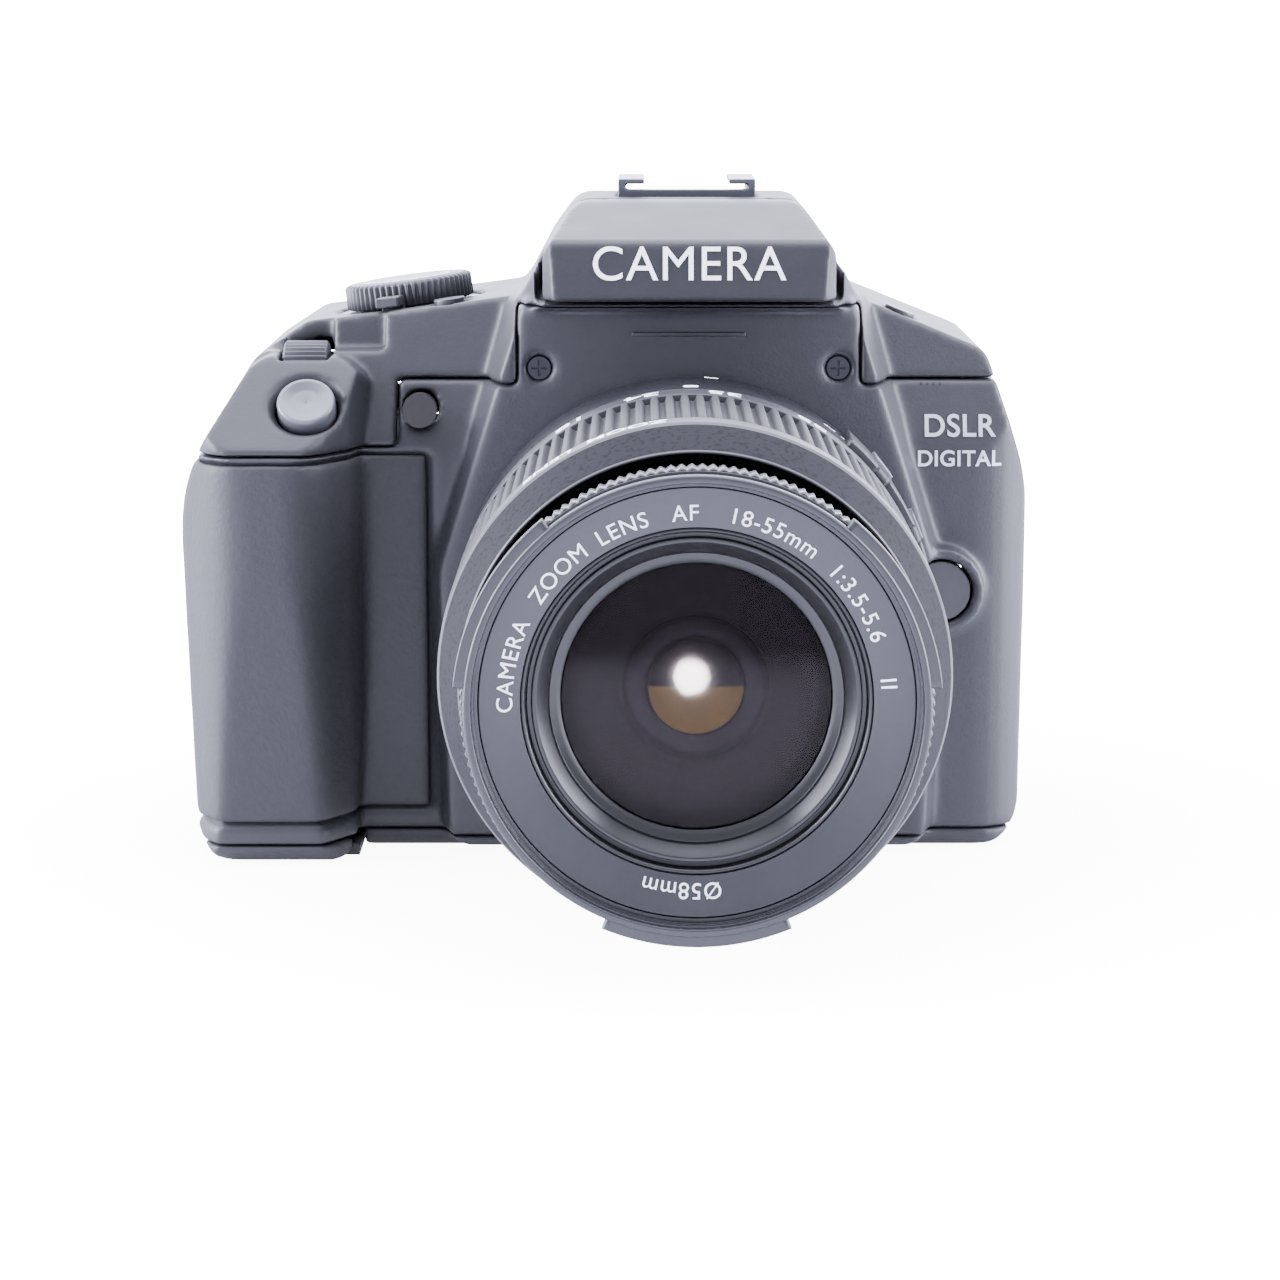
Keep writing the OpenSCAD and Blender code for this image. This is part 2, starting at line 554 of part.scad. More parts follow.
// ---------- mount, mirror ----------
module lips(r0, r1, z0, z1, half) intersection() {
    ring(r1, r0, z0, z1);
    for (a = [0, 120, 240]) rotate(a) sector(r1 + 2, half, z0, z1);
}
module mount_ring() color("#c8c9cc") on_axis() {
    difference() {
        ring(mount_radius, throat_radius, -3, 0);
        for (a = [30:60:330]) rotate(a) translate([0, (mount_radius + throat_radius) / 2, -4]) peg(1.05, 5);
        rotate(-70) translate([0, 30.4, -4]) peg(1.3, 5);
    }
    lips(throat_radius - 1.3, throat_radius + 0.2, -2.2, -0.3, 26);
}
mirror_length = 25;
module main_mirror() color("#d7dbe0") translate([0, pivot[0], pivot[1]]) {
    translate([-box_half - 1.4, 0, 0]) rotate([0, 90, 0]) peg(0.9, 2 * box_half + 2.8);
    rotate([45, 0, 0]) difference() {
        box([-14.5, -mirror_length, -0.9], [14.5, -0.3, 0.9]);
        box([-9, -16.5, -2], [9, -9, -0.2]);
    }
    rotate([45, 0, 0]) for (s = [-1, 1]) difference() {
        box([s * 10.7 - 0.4, -sub_hinge - 1, -2.4], [s * 10.7 + 0.4, -sub_hinge + 1, -0.8]);
        translate([s * 10.7 - 2, -sub_hinge, -1.6]) rotate([0, 90, 0]) peg(0.5 + running, 4);
    }
}
sub_hinge = 17.5;
sub_place = [pivot[0] - (sub_hinge - 1.6) * cos(45), pivot[1] - (sub_hinge + 1.6) * sin(45)];
module sub_mirror() color("#c3c8ce") translate([0, sub_place[0], sub_place[1]]) {
    translate([-11.2, 0, 0]) rotate([0, 90, 0]) peg(0.5, 22.4);
    rotate([-45, 0, 0]) box([-9.5, 0.4, -0.4], [9.5, 13.5, 0.4]);
}
module timer_lamp() color("#c8641e") translate(lamp_place + [0, 1.8, 0]) rotate([90, 0, 0]) peg(2.6, 2.4);

// ---------- flash ----------
module flash_room(g) intersection() {
    hump(g);
    box([-21.6 + g, -BIG, flash_floor + (g > 0 ? g : 0)], [21.6 - g, flash_hinge[0], BIG]);
}
module flash_head() color("#2a2b2e") {
    difference() {
        union() {
            difference() {
                flash_room(0);
                flash_room(1.6);
                box([-15, -38, 0], [15, -20, flash_floor + 2]);
            }
            intersection() {
                translate([-30, flash_hinge[0], flash_hinge[1]]) rotate([0, 90, 0]) peg(hinge_radius, 60);
                hump(0);
            }
        }
        flash_ears(0.3);
    }
    translate([-knuckle[0] - knuckle[1] - 0.5, flash_hinge[0], flash_hinge[1]]) rotate([0, 90, 0])
        peg(1.1, 2 * (knuckle[0] + knuckle[1]) + 1);
}
module flash_window() color("#e8ecef") box([-14.8, -37.8, flash_floor + 0.1], [14.8, -20.2, flash_floor + 1.9]);
module hot_shoe() color("#9b9da1") {
    box([-9.55, shoe_mid - 9, hump_height - 0.9], [9.55, shoe_mid + 9.8, hump_height + 0.3]);
    for (s = [-1, 1]) translate([0, shoe_mid, 0]) {
        box([s > 0 ? 9.5 : -10.7, -9, hump_height - 0.9], [s > 0 ? 10.7 : -9.5, 9.8, hump_height + 2.7]);
        box([s > 0 ? 6.6 : -10.7, -9, hump_height + 1.9], [s > 0 ? 10.7 : -6.6, 9.8, hump_height + 2.7]);
    }
    box([-9.5, shoe_mid - 9, hump_height + 0.2], [9.5, shoe_mid - 7.6, hump_height + 1.1]);
}

// ---------- top controls ----------
module knurl(r, n, depth, h) linear_extrude(h)
    polygon([for (i = [0:2 * n - 1]) (i % 2 ? r : r - depth) * [cos(180 * i / n), sin(180 * i / n)]]);
module shutter_button() color("#77797e") on_shutter() {
    translate([0, 0, -4]) peg(shutter_radius, 5);
    translate([0, 0, 0.9]) cylinder(r1 = shutter_radius, r2 = shutter_radius - 1, h = 0.8);
}
module main_dial() color("#1c1c1e") translate(dial_place) rotate([0, 90, 0]) translate([0, 0, -dial_width / 2]) {
    knurl(dial_radius, 30, 0.35, dial_width);
}
dial_height = 4.1;
module mode_dial() color("#1c1c1e") on_mode() {
    translate([0, 0, 2.05]) knurl(mode_radius, 48, 0.3, dial_height - 0.5);
    translate([0, 0, 2.05 + dial_height - 0.55]) cylinder(r1 = mode_radius - 0.4, r2 = mode_radius - 0.9, h = 0.5);
    translate([0, 0, -4]) peg(2.6, 6.1);
}
module power_switch() color("#1c1c1e") on_mode() difference() {
    union() {
        translate([0, 0, 0.15]) peg(mode_radius + 1.2, 1.6);
        rotate(-101) {
            box([mode_radius + 0.35, -1.8, 0.2], [mode_radius + 1.15, 1.8, 4.2]);
            box([mode_radius + 0.35, -1.8, 2.6], [mode_radius + 4.4, 1.8, 4.2]);
        }
    }
    translate([0, 0, -1]) peg(2.6 + play, 5);
}
module speed_button() color("#2c2d30") on_speed() translate([0, 0, -3.6]) peg(2.4, 4.4);
module flash_button() color("#2c2d30") on_flash_key() translate([0, 0, -3.6]) peg(2.4, 4.2);
module release_button() color("#26272a") translate(release_place) {
    translate([0, 1, 0]) rotate([90, 0, 0]) peg(release_radius, 4.2);
    translate([0, 2.6, 0]) rotate([90, 0, 0]) peg(2.2, 2);
}

// ---------- doors ----------
module terminal_cover() color("#202022") intersection() {
    body_form(0);
    union() {
        difference() {
            terminal_zone(play);
            body_form(rubber + 0.6);
            translate([0, terminal_hinge[1] - 1, 0]) cube([BIG, 1 + 1.9, BIG]);
        }
        difference() {
            terminal_barrel(-play);
            body_form(4);
        }
        box([terminal_hinge[0] - 0.2, terminal_hinge[1], terminal_low[1] + play],
            [terminal_hinge[0] + 0.6, terminal_hinge[1] + 3, terminal_high[1] - play]);
    }
}
module battery_door() color("#242528") {
    difference() {
        box([door_low[0], door_low[1], 0], [door_high[0], door_high[1], 1.9]);
        box([latch_x - 4, door_low[1] + 1, -1], [latch_x + 4, door_low[1] + 6.6, 0.9]);
    }
    translate([door_low[0], door_hinge[0], door_hinge[1]]) rotate([0, 90, 0])
        peg(door_barrel, door_high[0] - door_low[0]);
    translate([door_low[0] - 1.4, door_hinge[0], door_hinge[1]]) rotate([0, 90, 0])
        peg(0.8, door_high[0] - door_low[0] + 2.8);
    box([door_low[0], door_high[1] - 1, 0.8], [door_high[0], door_hinge[0], 1.9]);
}
latch_x = (door_low[0] + door_high[0]) / 2;
module door_latch() color("#2e2f33") difference() {
    box([latch_x - 3.7, door_low[1] + 1.15, 0.1], [latch_x + 3.7, door_low[1] + 4.4, 0.75]);
    for (k = [0:2])
        box([latch_x - 3, door_low[1] + 1.7 + k * 0.8, -1], [latch_x + 3, door_low[1] + 2.1 + k * 0.8, 0.3]);
}

// ---------- rear controls ----------
module key(i, r = key_radius) on_back(keys[i][1], keys[i][2]) {
    translate([0, 0, -4.4]) peg(r + 0.9, 1.2);
    translate([0, 0, -3.3]) peg(r, 4.2);
}
module live_view_button() color("#2c2d30") key(0);
module exposure_button() color("#2c2d30") key(1);
module quick_button() color("#2c2d30") key(2);
module play_button() color("#2c2d30") key(3);
module erase_button() color("#2c2d30") key(4);
module menu_button() color("#2c2d30") key(5);
module zoom_rocker() color("#2c2d30") on_back(rocker_mid[0], rocker_mid[1]) translate([0, 0, -1.2]) rocker_block(0, 4);
module four_way_pad() color("#232427")
    on_back(pad_mid[0], pad_mid[1]) translate([0, 0, -2.8]) difference() {
    union() {
        peg(11, 3);
        translate([0, 0, 2.95]) cylinder(r1 = 11, r2 = 10.2, h = 0.9);
    }
    translate([0, 0, -1]) peg(4.6 + play, 8);
}
module set_button() color("#2c2d30") on_back(pad_mid[0], pad_mid[1]) translate([0, 0, -3.3]) peg(4.6, 4.3);

// ---------- lens ----------
module lens_bayonet() color("#b4b6ba") on_axis() {
    difference() {
        union() {
            ring(mount_radius - 0.6, 19, 0.05, 3);
            ring(25.4, 19, -5, 0.1);
        }
        rotate(-70) translate([0, 30.2, -1]) peg(1.4, 2.2);
    }
    lips(25.3, throat_radius - 0.3, -4.4, -2.5, 25);
}
guide_end = zoom_front - 9.5;
collar_end = 24;
module lens_barrel() color("#1e1f21") on_axis() difference() {
    union() {
        rotate_extrude($fn = 120) polygon([[mount_radius - 0.9, 3.05], [zoom_radius - 0.7, 5.4], [zoom_radius - 0.1, 8],
            [zoom_radius - 0.1, collar_end], [guide_radius, collar_end], [guide_radius, guide_end],
            [guide_radius - 1.2, guide_end], [guide_radius - 1.2, 4.6], [19, 4.6], [19, 3.05]]);
        rotate(-60) intersection() {
            ring(zoom_radius + 1, zoom_radius - 1.6, 8.4, collar_end - 0.8);
            sector(zoom_radius + 4, 19, 8, collar_end);
        }
    }
    for (a = [-52, -68]) rotate(a) {
        translate([-2.3, zoom_radius - 1.6, 10.6]) cube([4.6, 5, 11]);
        translate([-1.1, zoom_radius - 4.1, 11.6]) cube([2.2, 5, 8.6]);
    }
}
module switch_knob(a) on_axis() rotate(a) {
    translate([-2, zoom_radius - 1.4, 11]) cube([4, 2.9, 5.4]);
    translate([-0.8, zoom_radius - 3.8, 12]) cube([1.6, 2.5, 3.4]);
}
module af_switch() color("#c9cacc") switch_knob(-52);
module stabiliser_switch() color("#c9cacc") switch_knob(-68);
rubber_back = 32;
rubber_front = zoom_front - 11;
module zoom_ring() color("#1e1f21") on_axis() rotate_extrude($fn = 120) polygon([
    [guide_radius + running, collar_end + 0.3], [zoom_radius - 0.1, collar_end + 0.3],
    [zoom_radius - 0.1, rubber_back - 0.2], [zoom_radius - 2, rubber_back - 0.2],
    [zoom_radius - 2, rubber_front + 0.2], [zoom_radius, rubber_front + 0.2],
    [zoom_radius - 0.1, zoom_front - 6.6], [zoom_radius - 0.4, zoom_front - 6],
    [zoom_radius - 3, zoom_front - 0.5], [zoom_radius - 3.3, zoom_front], [zoom_radius - 3.55, zoom_front],
    [zoom_radius - 3.55, zoom_front - 8.6],
    [guide_radius + running, zoom_front - 8.6]]);
module zoom_rubber() color("#19191b") on_axis(0) translate([0, 0, rubber_back]) difference() {
    linear_extrude(rubber_front - rubber_back) polygon([for (i = [0:zoom_ribs - 1]) for (k = [0:3])
        (k < 1 || k > 2 ? zoom_radius - 0.8 : zoom_radius) * [sin(360 * (i + [0, 0.14, 0.64, 0.78][k]) / zoom_ribs),
            cos(360 * (i + [0, 0.14, 0.64, 0.78][k]) / zoom_ribs)]]);
    translate([0, 0, -1]) cylinder(r = zoom_radius - 1.95, h = 60, $fn = 120);
}
front = lens_length + extension;           // front lip at rest
sleeve = guide_radius - 1.2 - running;     // outer radius of the sliding tube
carrier = sleeve - 1.6 - running;          // outer radius of the focus tube
neck = carrier - 1.2 - running;            // outer radius of the neck of the focus ring
module inner_barrel() color("#222326") on_axis() difference() {
    union() {
        ring(sleeve, sleeve - 1.6, front - 58, front - 10.7);
        ring(sleeve - 1, 12.6, front - 52, front - 50);
        ring(14, 12.6, front - 66, front - 50.5);
    }
}
module focus_tube() color("#2a2b2e") on_axis() {
    ring(carrier, carrier - 1.2, front - 40, front - 8.6);
}
module lug_sector(a) rotate(a) intersection() {
    ring(filter_radius + 2.5, filter_radius + 0.3, front - 2.1, front - 0.3);
    sector(filter_radius + 8, 23, front - 2.1, front - 0.3);
}
module focus_ring() color("#1b1c1e") on_axis() {
    rotate_extrude($fn = 120) polygon([[neck - 1.1, front - 26], [neck, front - 26], [neck, front - 7.9],
        [filter_radius + 1.2, front - 7.9], [filter_radius + 1.2, front - 3.4], [filter_radius + 0.7, front - 3.4],
        [filter_radius + 0.7, front - 2], [filter_radius + 1.1, front - 1.7], [filter_radius + 1.1, front - 0.3],
        [filter_radius + 0.8, front], [filter_radius + 0.2, front], [filter_radius, front - 0.3], [filter_radius, front - 3.1],
        [filter_radius - 0.7, front - 3.1], [filter_radius - 0.7, front - 4.08],
        [glass_radius + 2.5, front - 5.4], [glass_radius + 2.5, front - 6.6], [neck - 1.1, front - 7]]);
    for (a = [0, 118, -118]) rotate(a + 180) lug_sector(0);
    difference() {
        translate([0, 0, front - 7.8]) knurl(filter_radius + 1.75, 110, 0.45, 4.2);
        translate([0, 0, front - 9]) cylinder(r = filter_radius + 1, h = 8, $fn = 120);
    }
}
module name_ring() color("#2b2c2f") on_axis() rotate_extrude($fn = 120) polygon([
    [glass_radius + 2.2, front - 5.2], [filter_radius - 0.7 - gap, front - 3.92],
    [filter_radius - 0.7 - gap, front - 3.34],
    [glass_radius + 2.2, front - 4.4]]);
// a glass disc with two curved faces, vertex planes at z0 and z1, bulge b0 and b1
function arc_face(r, z, b, n) = [for (k = [0:n]) let(x = r * k / n) [x, z + b * (1 - pow(x / r, 2))]];
module element(r, z0, b0, z1, b1) rotate_extrude($fn = 96) polygon(concat(arc_face(r, z1, b1, 12),
    [for (k = [12:-1:0]) arc_face(r, z0, b0, 12)[k]]));
module front_elements() color("#3b4254", 0.6) on_axis() {
    element(glass_radius, front - 12.4, 1.5, front - 9.6, 3.2);
    element(17.5, front - 19.2, 1.2, front - 15.6, -1);
    ring(glass_radius + 2.1, glass_radius - 1.9, front - 9.5, front - 6.8);
    ring(neck - 1.2, glass_radius - 4, front - 15.5, front - 13);
}
module rear_elements() color("#3b4254", 0.6) on_axis() {
    element(12.4, front - 56, 1.6, front - 53, 1.6);
    element(12.4, front - 63, -1, front - 60.5, 1.8);
}
module aperture_unit() color("#151517") on_axis() translate([0, 0, front - 49.8]) difference() {
    cylinder(r = 21, h = 5);
    translate([0, 0, -1]) cylinder(r = 9, h = 3.4, $fn = 48);
    translate([0, 0, -1]) cylinder(r = 6.2, h = 20, $fn = 6);
    translate([0, 0, 2.6]) cylinder(r1 = 6, r2 = 12, h = 3, $fn = 48);
}

// ---------- fasteners ----------
module screw(r) difference() {
    cylinder(r1 = r - 0.2, r2 = r, h = 0.9);
    for (a = [0, 90]) rotate(a) box([-r * 0.6, -0.2, -0.1], [r * 0.6, 0.2, 0.5]);
}
module cover_screws() color("#4a4b4e") {
    for (p = base_screws) translate([p[0], p[1], 0.1]) screw(1.75);
    for (x = [-22.3, 22.3]) translate([x, -boss_front + 0.65, deck_height - 10]) rotate([-90, 0, 0]) screw(1.9);
}

front_cover();
rear_cover();
top_cover();
bottom_cover();
grip_rubber();
chassis();
battery_box();
battery();
memory_card();
tripod_socket();
hot_shoe();
viewfinder_lenses();
pentamirror();
shutter_frame();
image_sensor();
main_board();
lcd_panel();
lcd_window();
mount_ring();
cover_screws();
timer_lamp();
main_mirror();
sub_mirror();
shutter_curtain();
flash_head();
flash_window();
shutter_button();
main_dial();
mode_dial();
power_switch();
flash_button();
speed_button();
release_button();
terminal_cover();
battery_door();
door_latch();
eyecup();
diopter_dial();
live_view_button();
zoom_rocker();
exposure_button();
quick_button();
four_way_pad();
set_button();
play_button();
erase_button();
menu_button();
lens_bayonet();
lens_barrel();
zoom_ring();
zoom_rubber();
inner_barrel();
focus_tube();
focus_ring();
name_ring();
front_elements();
rear_elements();
aperture_unit();
af_switch();
stabiliser_switch();
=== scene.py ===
import math

import bmesh
import bpy
from mathutils import Matrix, Vector


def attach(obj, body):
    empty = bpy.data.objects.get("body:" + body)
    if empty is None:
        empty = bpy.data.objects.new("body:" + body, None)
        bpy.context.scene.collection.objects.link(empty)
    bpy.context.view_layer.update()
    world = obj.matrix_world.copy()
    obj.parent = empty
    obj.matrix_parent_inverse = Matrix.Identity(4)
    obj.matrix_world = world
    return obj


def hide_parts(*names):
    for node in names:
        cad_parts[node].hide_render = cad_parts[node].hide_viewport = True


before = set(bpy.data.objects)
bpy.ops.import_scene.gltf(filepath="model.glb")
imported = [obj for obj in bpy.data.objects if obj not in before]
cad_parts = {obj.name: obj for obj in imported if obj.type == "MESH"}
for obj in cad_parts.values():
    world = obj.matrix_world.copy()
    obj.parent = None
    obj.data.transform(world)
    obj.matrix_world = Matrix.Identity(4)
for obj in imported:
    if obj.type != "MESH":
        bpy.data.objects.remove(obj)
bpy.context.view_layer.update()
MM = 0.001


# ---- The table and the light ----
# The camera stands on a white sweep in a white tent: bright from above, both sides and behind,
# and dimmer from the front, where the person stands.
def linear(code):
    """A colour from its sRGB hex code, made linear."""
    parts = [int(code[i:i + 2], 16) / 255 for i in (1, 3, 5)]
    return tuple(c / 12.92 if c <= 0.04045 else ((c + 0.055) / 1.055) ** 2.4 for c in parts) + (1.0,)


def add(tree, kind, feeds=(), values=(), **settings):
    """Adds one node: its settings, its input values, and what feeds each input."""
    made = tree.nodes.new(kind)
    for name, value in settings.items():
        setattr(made, name, value)
    for key, value in dict(values).items():
        made.inputs[key].default_value = value
    for key, source in dict(feeds).items():
        tree.links.new(source, made.inputs[key])
    return made


look = bpy.data.cameras.new("viewpoint")
look.lens, look.sensor_width = 102.2, 36
viewpoint = bpy.data.objects.new("viewpoint", look)
viewpoint.location = (-0.00727, -0.57517, 0.12689)
viewpoint.rotation_euler = (math.radians(90 - 9.81), 0, 0)
bpy.context.scene.collection.objects.link(viewpoint)
bpy.context.scene.camera = viewpoint

sweep = bpy.data.materials.new("white_floor_painted_shadow")
sweep.use_nodes = True
table = sweep.node_tree
sheet = table.nodes["Principled BSDF"]
sheet.inputs["Base Color"].default_value = linear("#CDCFD6")
sheet.inputs["Roughness"].default_value = 0.9
sheet.inputs["Emission Color"].default_value = linear("#FBFBFF")
# The floor glows strongly for the view only, so it reads as white. That glow is painted dimmer within 0.3 m
# of the middle: a painted contact shadow under the camera. Other rays get a faint 0.8 glow.
faced = add(table, "ShaderNodeLightPath")
spread = add(table, "ShaderNodeTexCoord")
reach = add(table, "ShaderNodeVectorMath", {0: spread.outputs["Object"]}, operation="LENGTH")
even = add(table, "ShaderNodeMapRange", {"Value": reach.outputs["Value"]},
           {"From Min": 0.05, "From Max": 0.3, "To Min": 10, "To Max": 26}, interpolation_type="SMOOTHSTEP")
glow = add(table, "ShaderNodeMapRange", {"Value": faced.outputs["Is Camera Ray"], "To Max": even.outputs[0]},
           {"To Min": 0.8})
table.links.new(glow.outputs[0], sheet.inputs["Emission Strength"])
shape = bmesh.new()
bmesh.ops.create_grid(shape, x_segments=1, y_segments=1, size=40)
floor_mesh = bpy.data.meshes.new("floor")
shape.to_mesh(floor_mesh)
shape.free()
floor = bpy.data.objects.new("floor", floor_mesh)
floor_mesh.materials.append(sweep)
bpy.context.scene.collection.objects.link(floor)

tent = bpy.data.worlds.new("tent")
bpy.context.scene.world = tent
tent.use_nodes = True
sky = tent.node_tree
where = add(sky, "ShaderNodeTexCoord")
parts = add(sky, "ShaderNodeSeparateXYZ", {0: where.outputs["Generated"]})
front_dim = add(sky, "ShaderNodeMapRange", {"Value": parts.outputs["Y"]},
                {"From Min": -0.9, "From Max": 0.3, "To Min": 1.9, "To Max": 3.3})
seen = add(sky, "ShaderNodeLightPath")
white = add(sky, "ShaderNodeMix", {0: seen.outputs["Is Camera Ray"], 2: front_dim.outputs[0]}, {3: 22.0})
sky.nodes["Background"].inputs["Color"].default_value = linear("#E9EAFF")
sky.links.new(white.outputs[0], sky.nodes["Background"].inputs["Strength"])

for name, at, turn, wide, power in (
        ("top_panel", (0, 0.10, 0.95), (0, 0, 0), (1.3, 1.0), 34),
        ("back_panel", (0, 1.30, 0.50), (math.radians(-72), 0, 0), (2.4, 0.8), 62),
        ("left_panel", (-0.95, -0.10, 0.35), (0, math.radians(-78), 0), (0.9, 0.7), 80),
        ("right_panel", (0.95, -0.10, 0.35), (0, math.radians(78), 0), (0.9, 0.7), 66)):
    panel = bpy.data.lights.new(name, "AREA")
    panel.shape, panel.size, panel.size_y, panel.energy = "RECTANGLE", wide[0], wide[1], power
    panel.color = linear("#EAEBFF")[:3]
    lamp = bpy.data.objects.new(name, panel)
    lamp.location, lamp.rotation_euler = at, turn
    bpy.context.scene.collection.objects.link(lamp)


# ---- Body covers ----
# Four glass-filled polycarbonate mouldings screwed round the chassis. The mould surface is
# spark-eroded, so the black plastic has a fine even grain and soft grey sheen.
def place(mesh, name, body, material=None, stands_for=(), smooth=True):
    """Puts a finished mesh into the scene as a piece that rides on a body."""
    piece = bpy.data.objects.new(name, mesh)
    bpy.context.scene.collection.objects.link(piece)
    if material:
        mesh.materials.clear()
        mesh.materials.append(material)
    for face in mesh.polygons:
        face.use_smooth = smooth
    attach(piece, body)
    if stands_for:
        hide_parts(*([stands_for] if isinstance(stands_for, str) else stands_for))
    return piece


def softened(node, voxel, rounds):
    """The mesh of a CAD node with its edges rounded as a mould leaves them."""
    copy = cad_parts[node].data.copy()
    shape = bmesh.new()
    shape.from_mesh(copy)
    bmesh.ops.remove_doubles(shape, verts=shape.verts, dist=1e-6)
    shape.to_mesh(copy)
    shape.free()
    draft = bpy.data.objects.new(node + "_draft", copy)
    bpy.context.scene.collection.objects.link(draft)
    grid = draft.modifiers.new("grid", "REMESH")
    grid.mode, grid.voxel_size = "VOXEL", voxel * MM
    ease = draft.modifiers.new("ease", "SMOOTH")
    ease.factor, ease.iterations = 0.5, rounds
    bpy.context.view_layer.update()
    done = bpy.data.meshes.new_from_object(draft.evaluated_get(bpy.context.evaluated_depsgraph_get()))
    bpy.data.objects.remove(draft)
    done.name = node
    return done


def plastic(name, colour, rough, grain, depth, sheen=0.5):
    """Moulded plastic or rubber: even colour with a slight variation and a grain of that size."""
    made = bpy.data.materials.new(name)
    made.use_nodes = True
    tree = made.node_tree
    skin = tree.nodes["Principled BSDF"]
    skin.inputs["IOR"].default_value = 1.5
    skin.inputs["Specular IOR Level"].default_value = sheen
    where = add(tree, "ShaderNodeTexCoord")
    mottle = add(tree, "ShaderNodeTexNoise", {"Vector": where.outputs["Object"]},
                 {"Scale": 120, "Detail": 2})
    base = linear(colour)
    dark = tuple(c * 0.86 for c in base[:3]) + (1,)
    light = tuple(c * 1.14 for c in base[:3]) + (1,)
    tint = add(tree, "ShaderNodeMix", {0: mottle.outputs["Fac"]}, {6: dark, 7: light}, data_type="RGBA")
    tree.links.new(tint.outputs[2], skin.inputs["Base Color"])
    satin = add(tree, "ShaderNodeMapRange", {"Value": mottle.outputs["Fac"]},
                {"To Min": rough - 0.05, "To Max": rough + 0.05})
    tree.links.new(satin.outputs[0], skin.inputs["Roughness"])
    pits = add(tree, "ShaderNodeTexNoise", {"Vector": where.outputs["Object"]},
               {"Scale": 1000 / grain, "Detail": 3, "Roughness": 0.6})
    relief = add(tree, "ShaderNodeBump", {"Height": pits.outputs["Fac"]},
                 {"Strength": 1.0, "Distance": depth * MM})
    tree.links.new(relief.outputs[0], skin.inputs["Normal"])
    return made


cover_plastic = plastic("black_polycarbonate_spark_grain", "#212225", 0.5, 0.45, 0.035, 0.42)
base_plastic = plastic("black_polycarbonate_base", "#222326", 0.55, 0.5, 0.03, 0.42)
for node, voxel, rounds, finish in (
        ("front_cover", 0.55, 8, cover_plastic), ("rear_cover", 0.55, 8, cover_plastic),
        ("top_cover", 0.5, 8, cover_plastic), ("bottom_cover", 0.55, 6, base_plastic)):
    place(softened(node, voxel, rounds), node + "_moulding", "camera_body", finish, node)

# ---- Grip rubber ----
# Two skins of textured elastomer glued into recesses of the covers: one wraps the grip and runs
# to the lens boss, one sits under the thumb. Its leather-like grain is matt.
grip_skin = plastic("thermoplastic_rubber_leather_grain", "#1E1E21", 0.6, 0.9, 0.08, 0.42)
place(softened("grip_rubber", 0.5, 40), "grip_skin", "camera_body", grip_skin, "grip_rubber")

# ---- Pop-up flash ----
# A moulded housing hinged at the back of the prism hump; its front carries the white lettering.
flash_plastic = plastic("black_polycarbonate_flash", "#17181B", 0.48, 0.45, 0.03, 0.42)
place(softened("flash_head", 0.42, 6), "flash_housing", "flash", flash_plastic, "flash_head")


def lettering(words, size, thick=0.04, bold=0.0, gap=1.0):
    """Sans lettering as a mesh in mm, centred on its own middle, facing local +Z."""
    curve = bpy.data.curves.new("letters", "FONT")
    curve.body, curve.size, curve.extrude, curve.offset = words, size, thick, bold
    curve.align_x, curve.align_y, curve.space_character = "CENTER", "CENTER", gap
    draft = bpy.data.objects.new("letters", curve)
    bpy.context.scene.collection.objects.link(draft)
    bpy.context.view_layer.update()
    done = bpy.data.meshes.new_from_object(draft.evaluated_get(bpy.context.evaluated_depsgraph_get()))
    bpy.data.objects.remove(draft)
    done.name = "letters_" + words.split()[0].lower()
    return done


def laid_on(mesh, at, under, lift=0.03, rear=False):
    """Lays lettering on a moulded surface at (X, Z), read from the front, or from behind."""
    side = -1 if rear else 1
    for point in mesh.vertices:
        x, z, out = at[0] + side * point.co.x, at[1] + point.co.y, point.co.z
        hit, spot, _, _ = under.ray_cast(Vector((x, -100 * side, z)) * MM, Vector((0, side, 0)))
        point.co = Vector((x * MM, spot.y - side * (lift + out) * MM if hit else 0, z * MM))
    return mesh


def paint(name, colour, rough=0.45):
    """Screen-printed ink: an even film a little rougher where it is thin."""
    made = bpy.data.materials.new(name)
    made.use_nodes = True
    tree = made.node_tree
    skin = tree.nodes["Principled BSDF"]
    skin.inputs["Base Color"].default_value = linear(colour)
    where = add(tree, "ShaderNodeTexCoord")
    film = add(tree, "ShaderNodeTexNoise", {"Vector": where.outputs["Object"]}, {"Scale": 900, "Detail": 2})
    thin = add(tree, "ShaderNodeMapRange", {"Value": film.outputs["Fac"]},
               {"To Min": rough - 0.08, "To Max": rough + 0.12})
    tree.links.new(thin.outputs[0], skin.inputs["Roughness"])
    relief = add(tree, "ShaderNodeBump", {"Height": film.outputs["Fac"]},
                 {"Strength": 0.5, "Distance": 0.00001})
    tree.links.new(relief.outputs[0], skin.inputs["Normal"])
    return made


white_ink = paint("white_ink", "#F2F3F6")
name_on_flash = laid_on(lettering("CAMERA", 7.0, 0.12, 0.0, 1.06), (-0.2, 90.4),
                        bpy.data.objects["flash_housing"])
place(name_on_flash, "flash_lettering", "flash", white_ink, smooth=False)

# The raised badge on the right front: two lines of satin metal-coated letters.
badge_ink = paint("satin_silver_coating", "#C9CCD3", 0.32)
badge_ink.node_tree.nodes["Principled BSDF"].inputs["Metallic"].default_value = 0.6
for line, size, height in (("DSLR", 4.6, 65.0), ("DIGITAL", 3.3, 60.2)):
    letters = laid_on(lettering(line, size, 0.1, 0.06, 1.05), (41.0, height),
                      bpy.data.objects["front_cover_moulding"])
    place(letters, "badge_" + line.lower(), "camera_body", badge_ink, smooth=False)
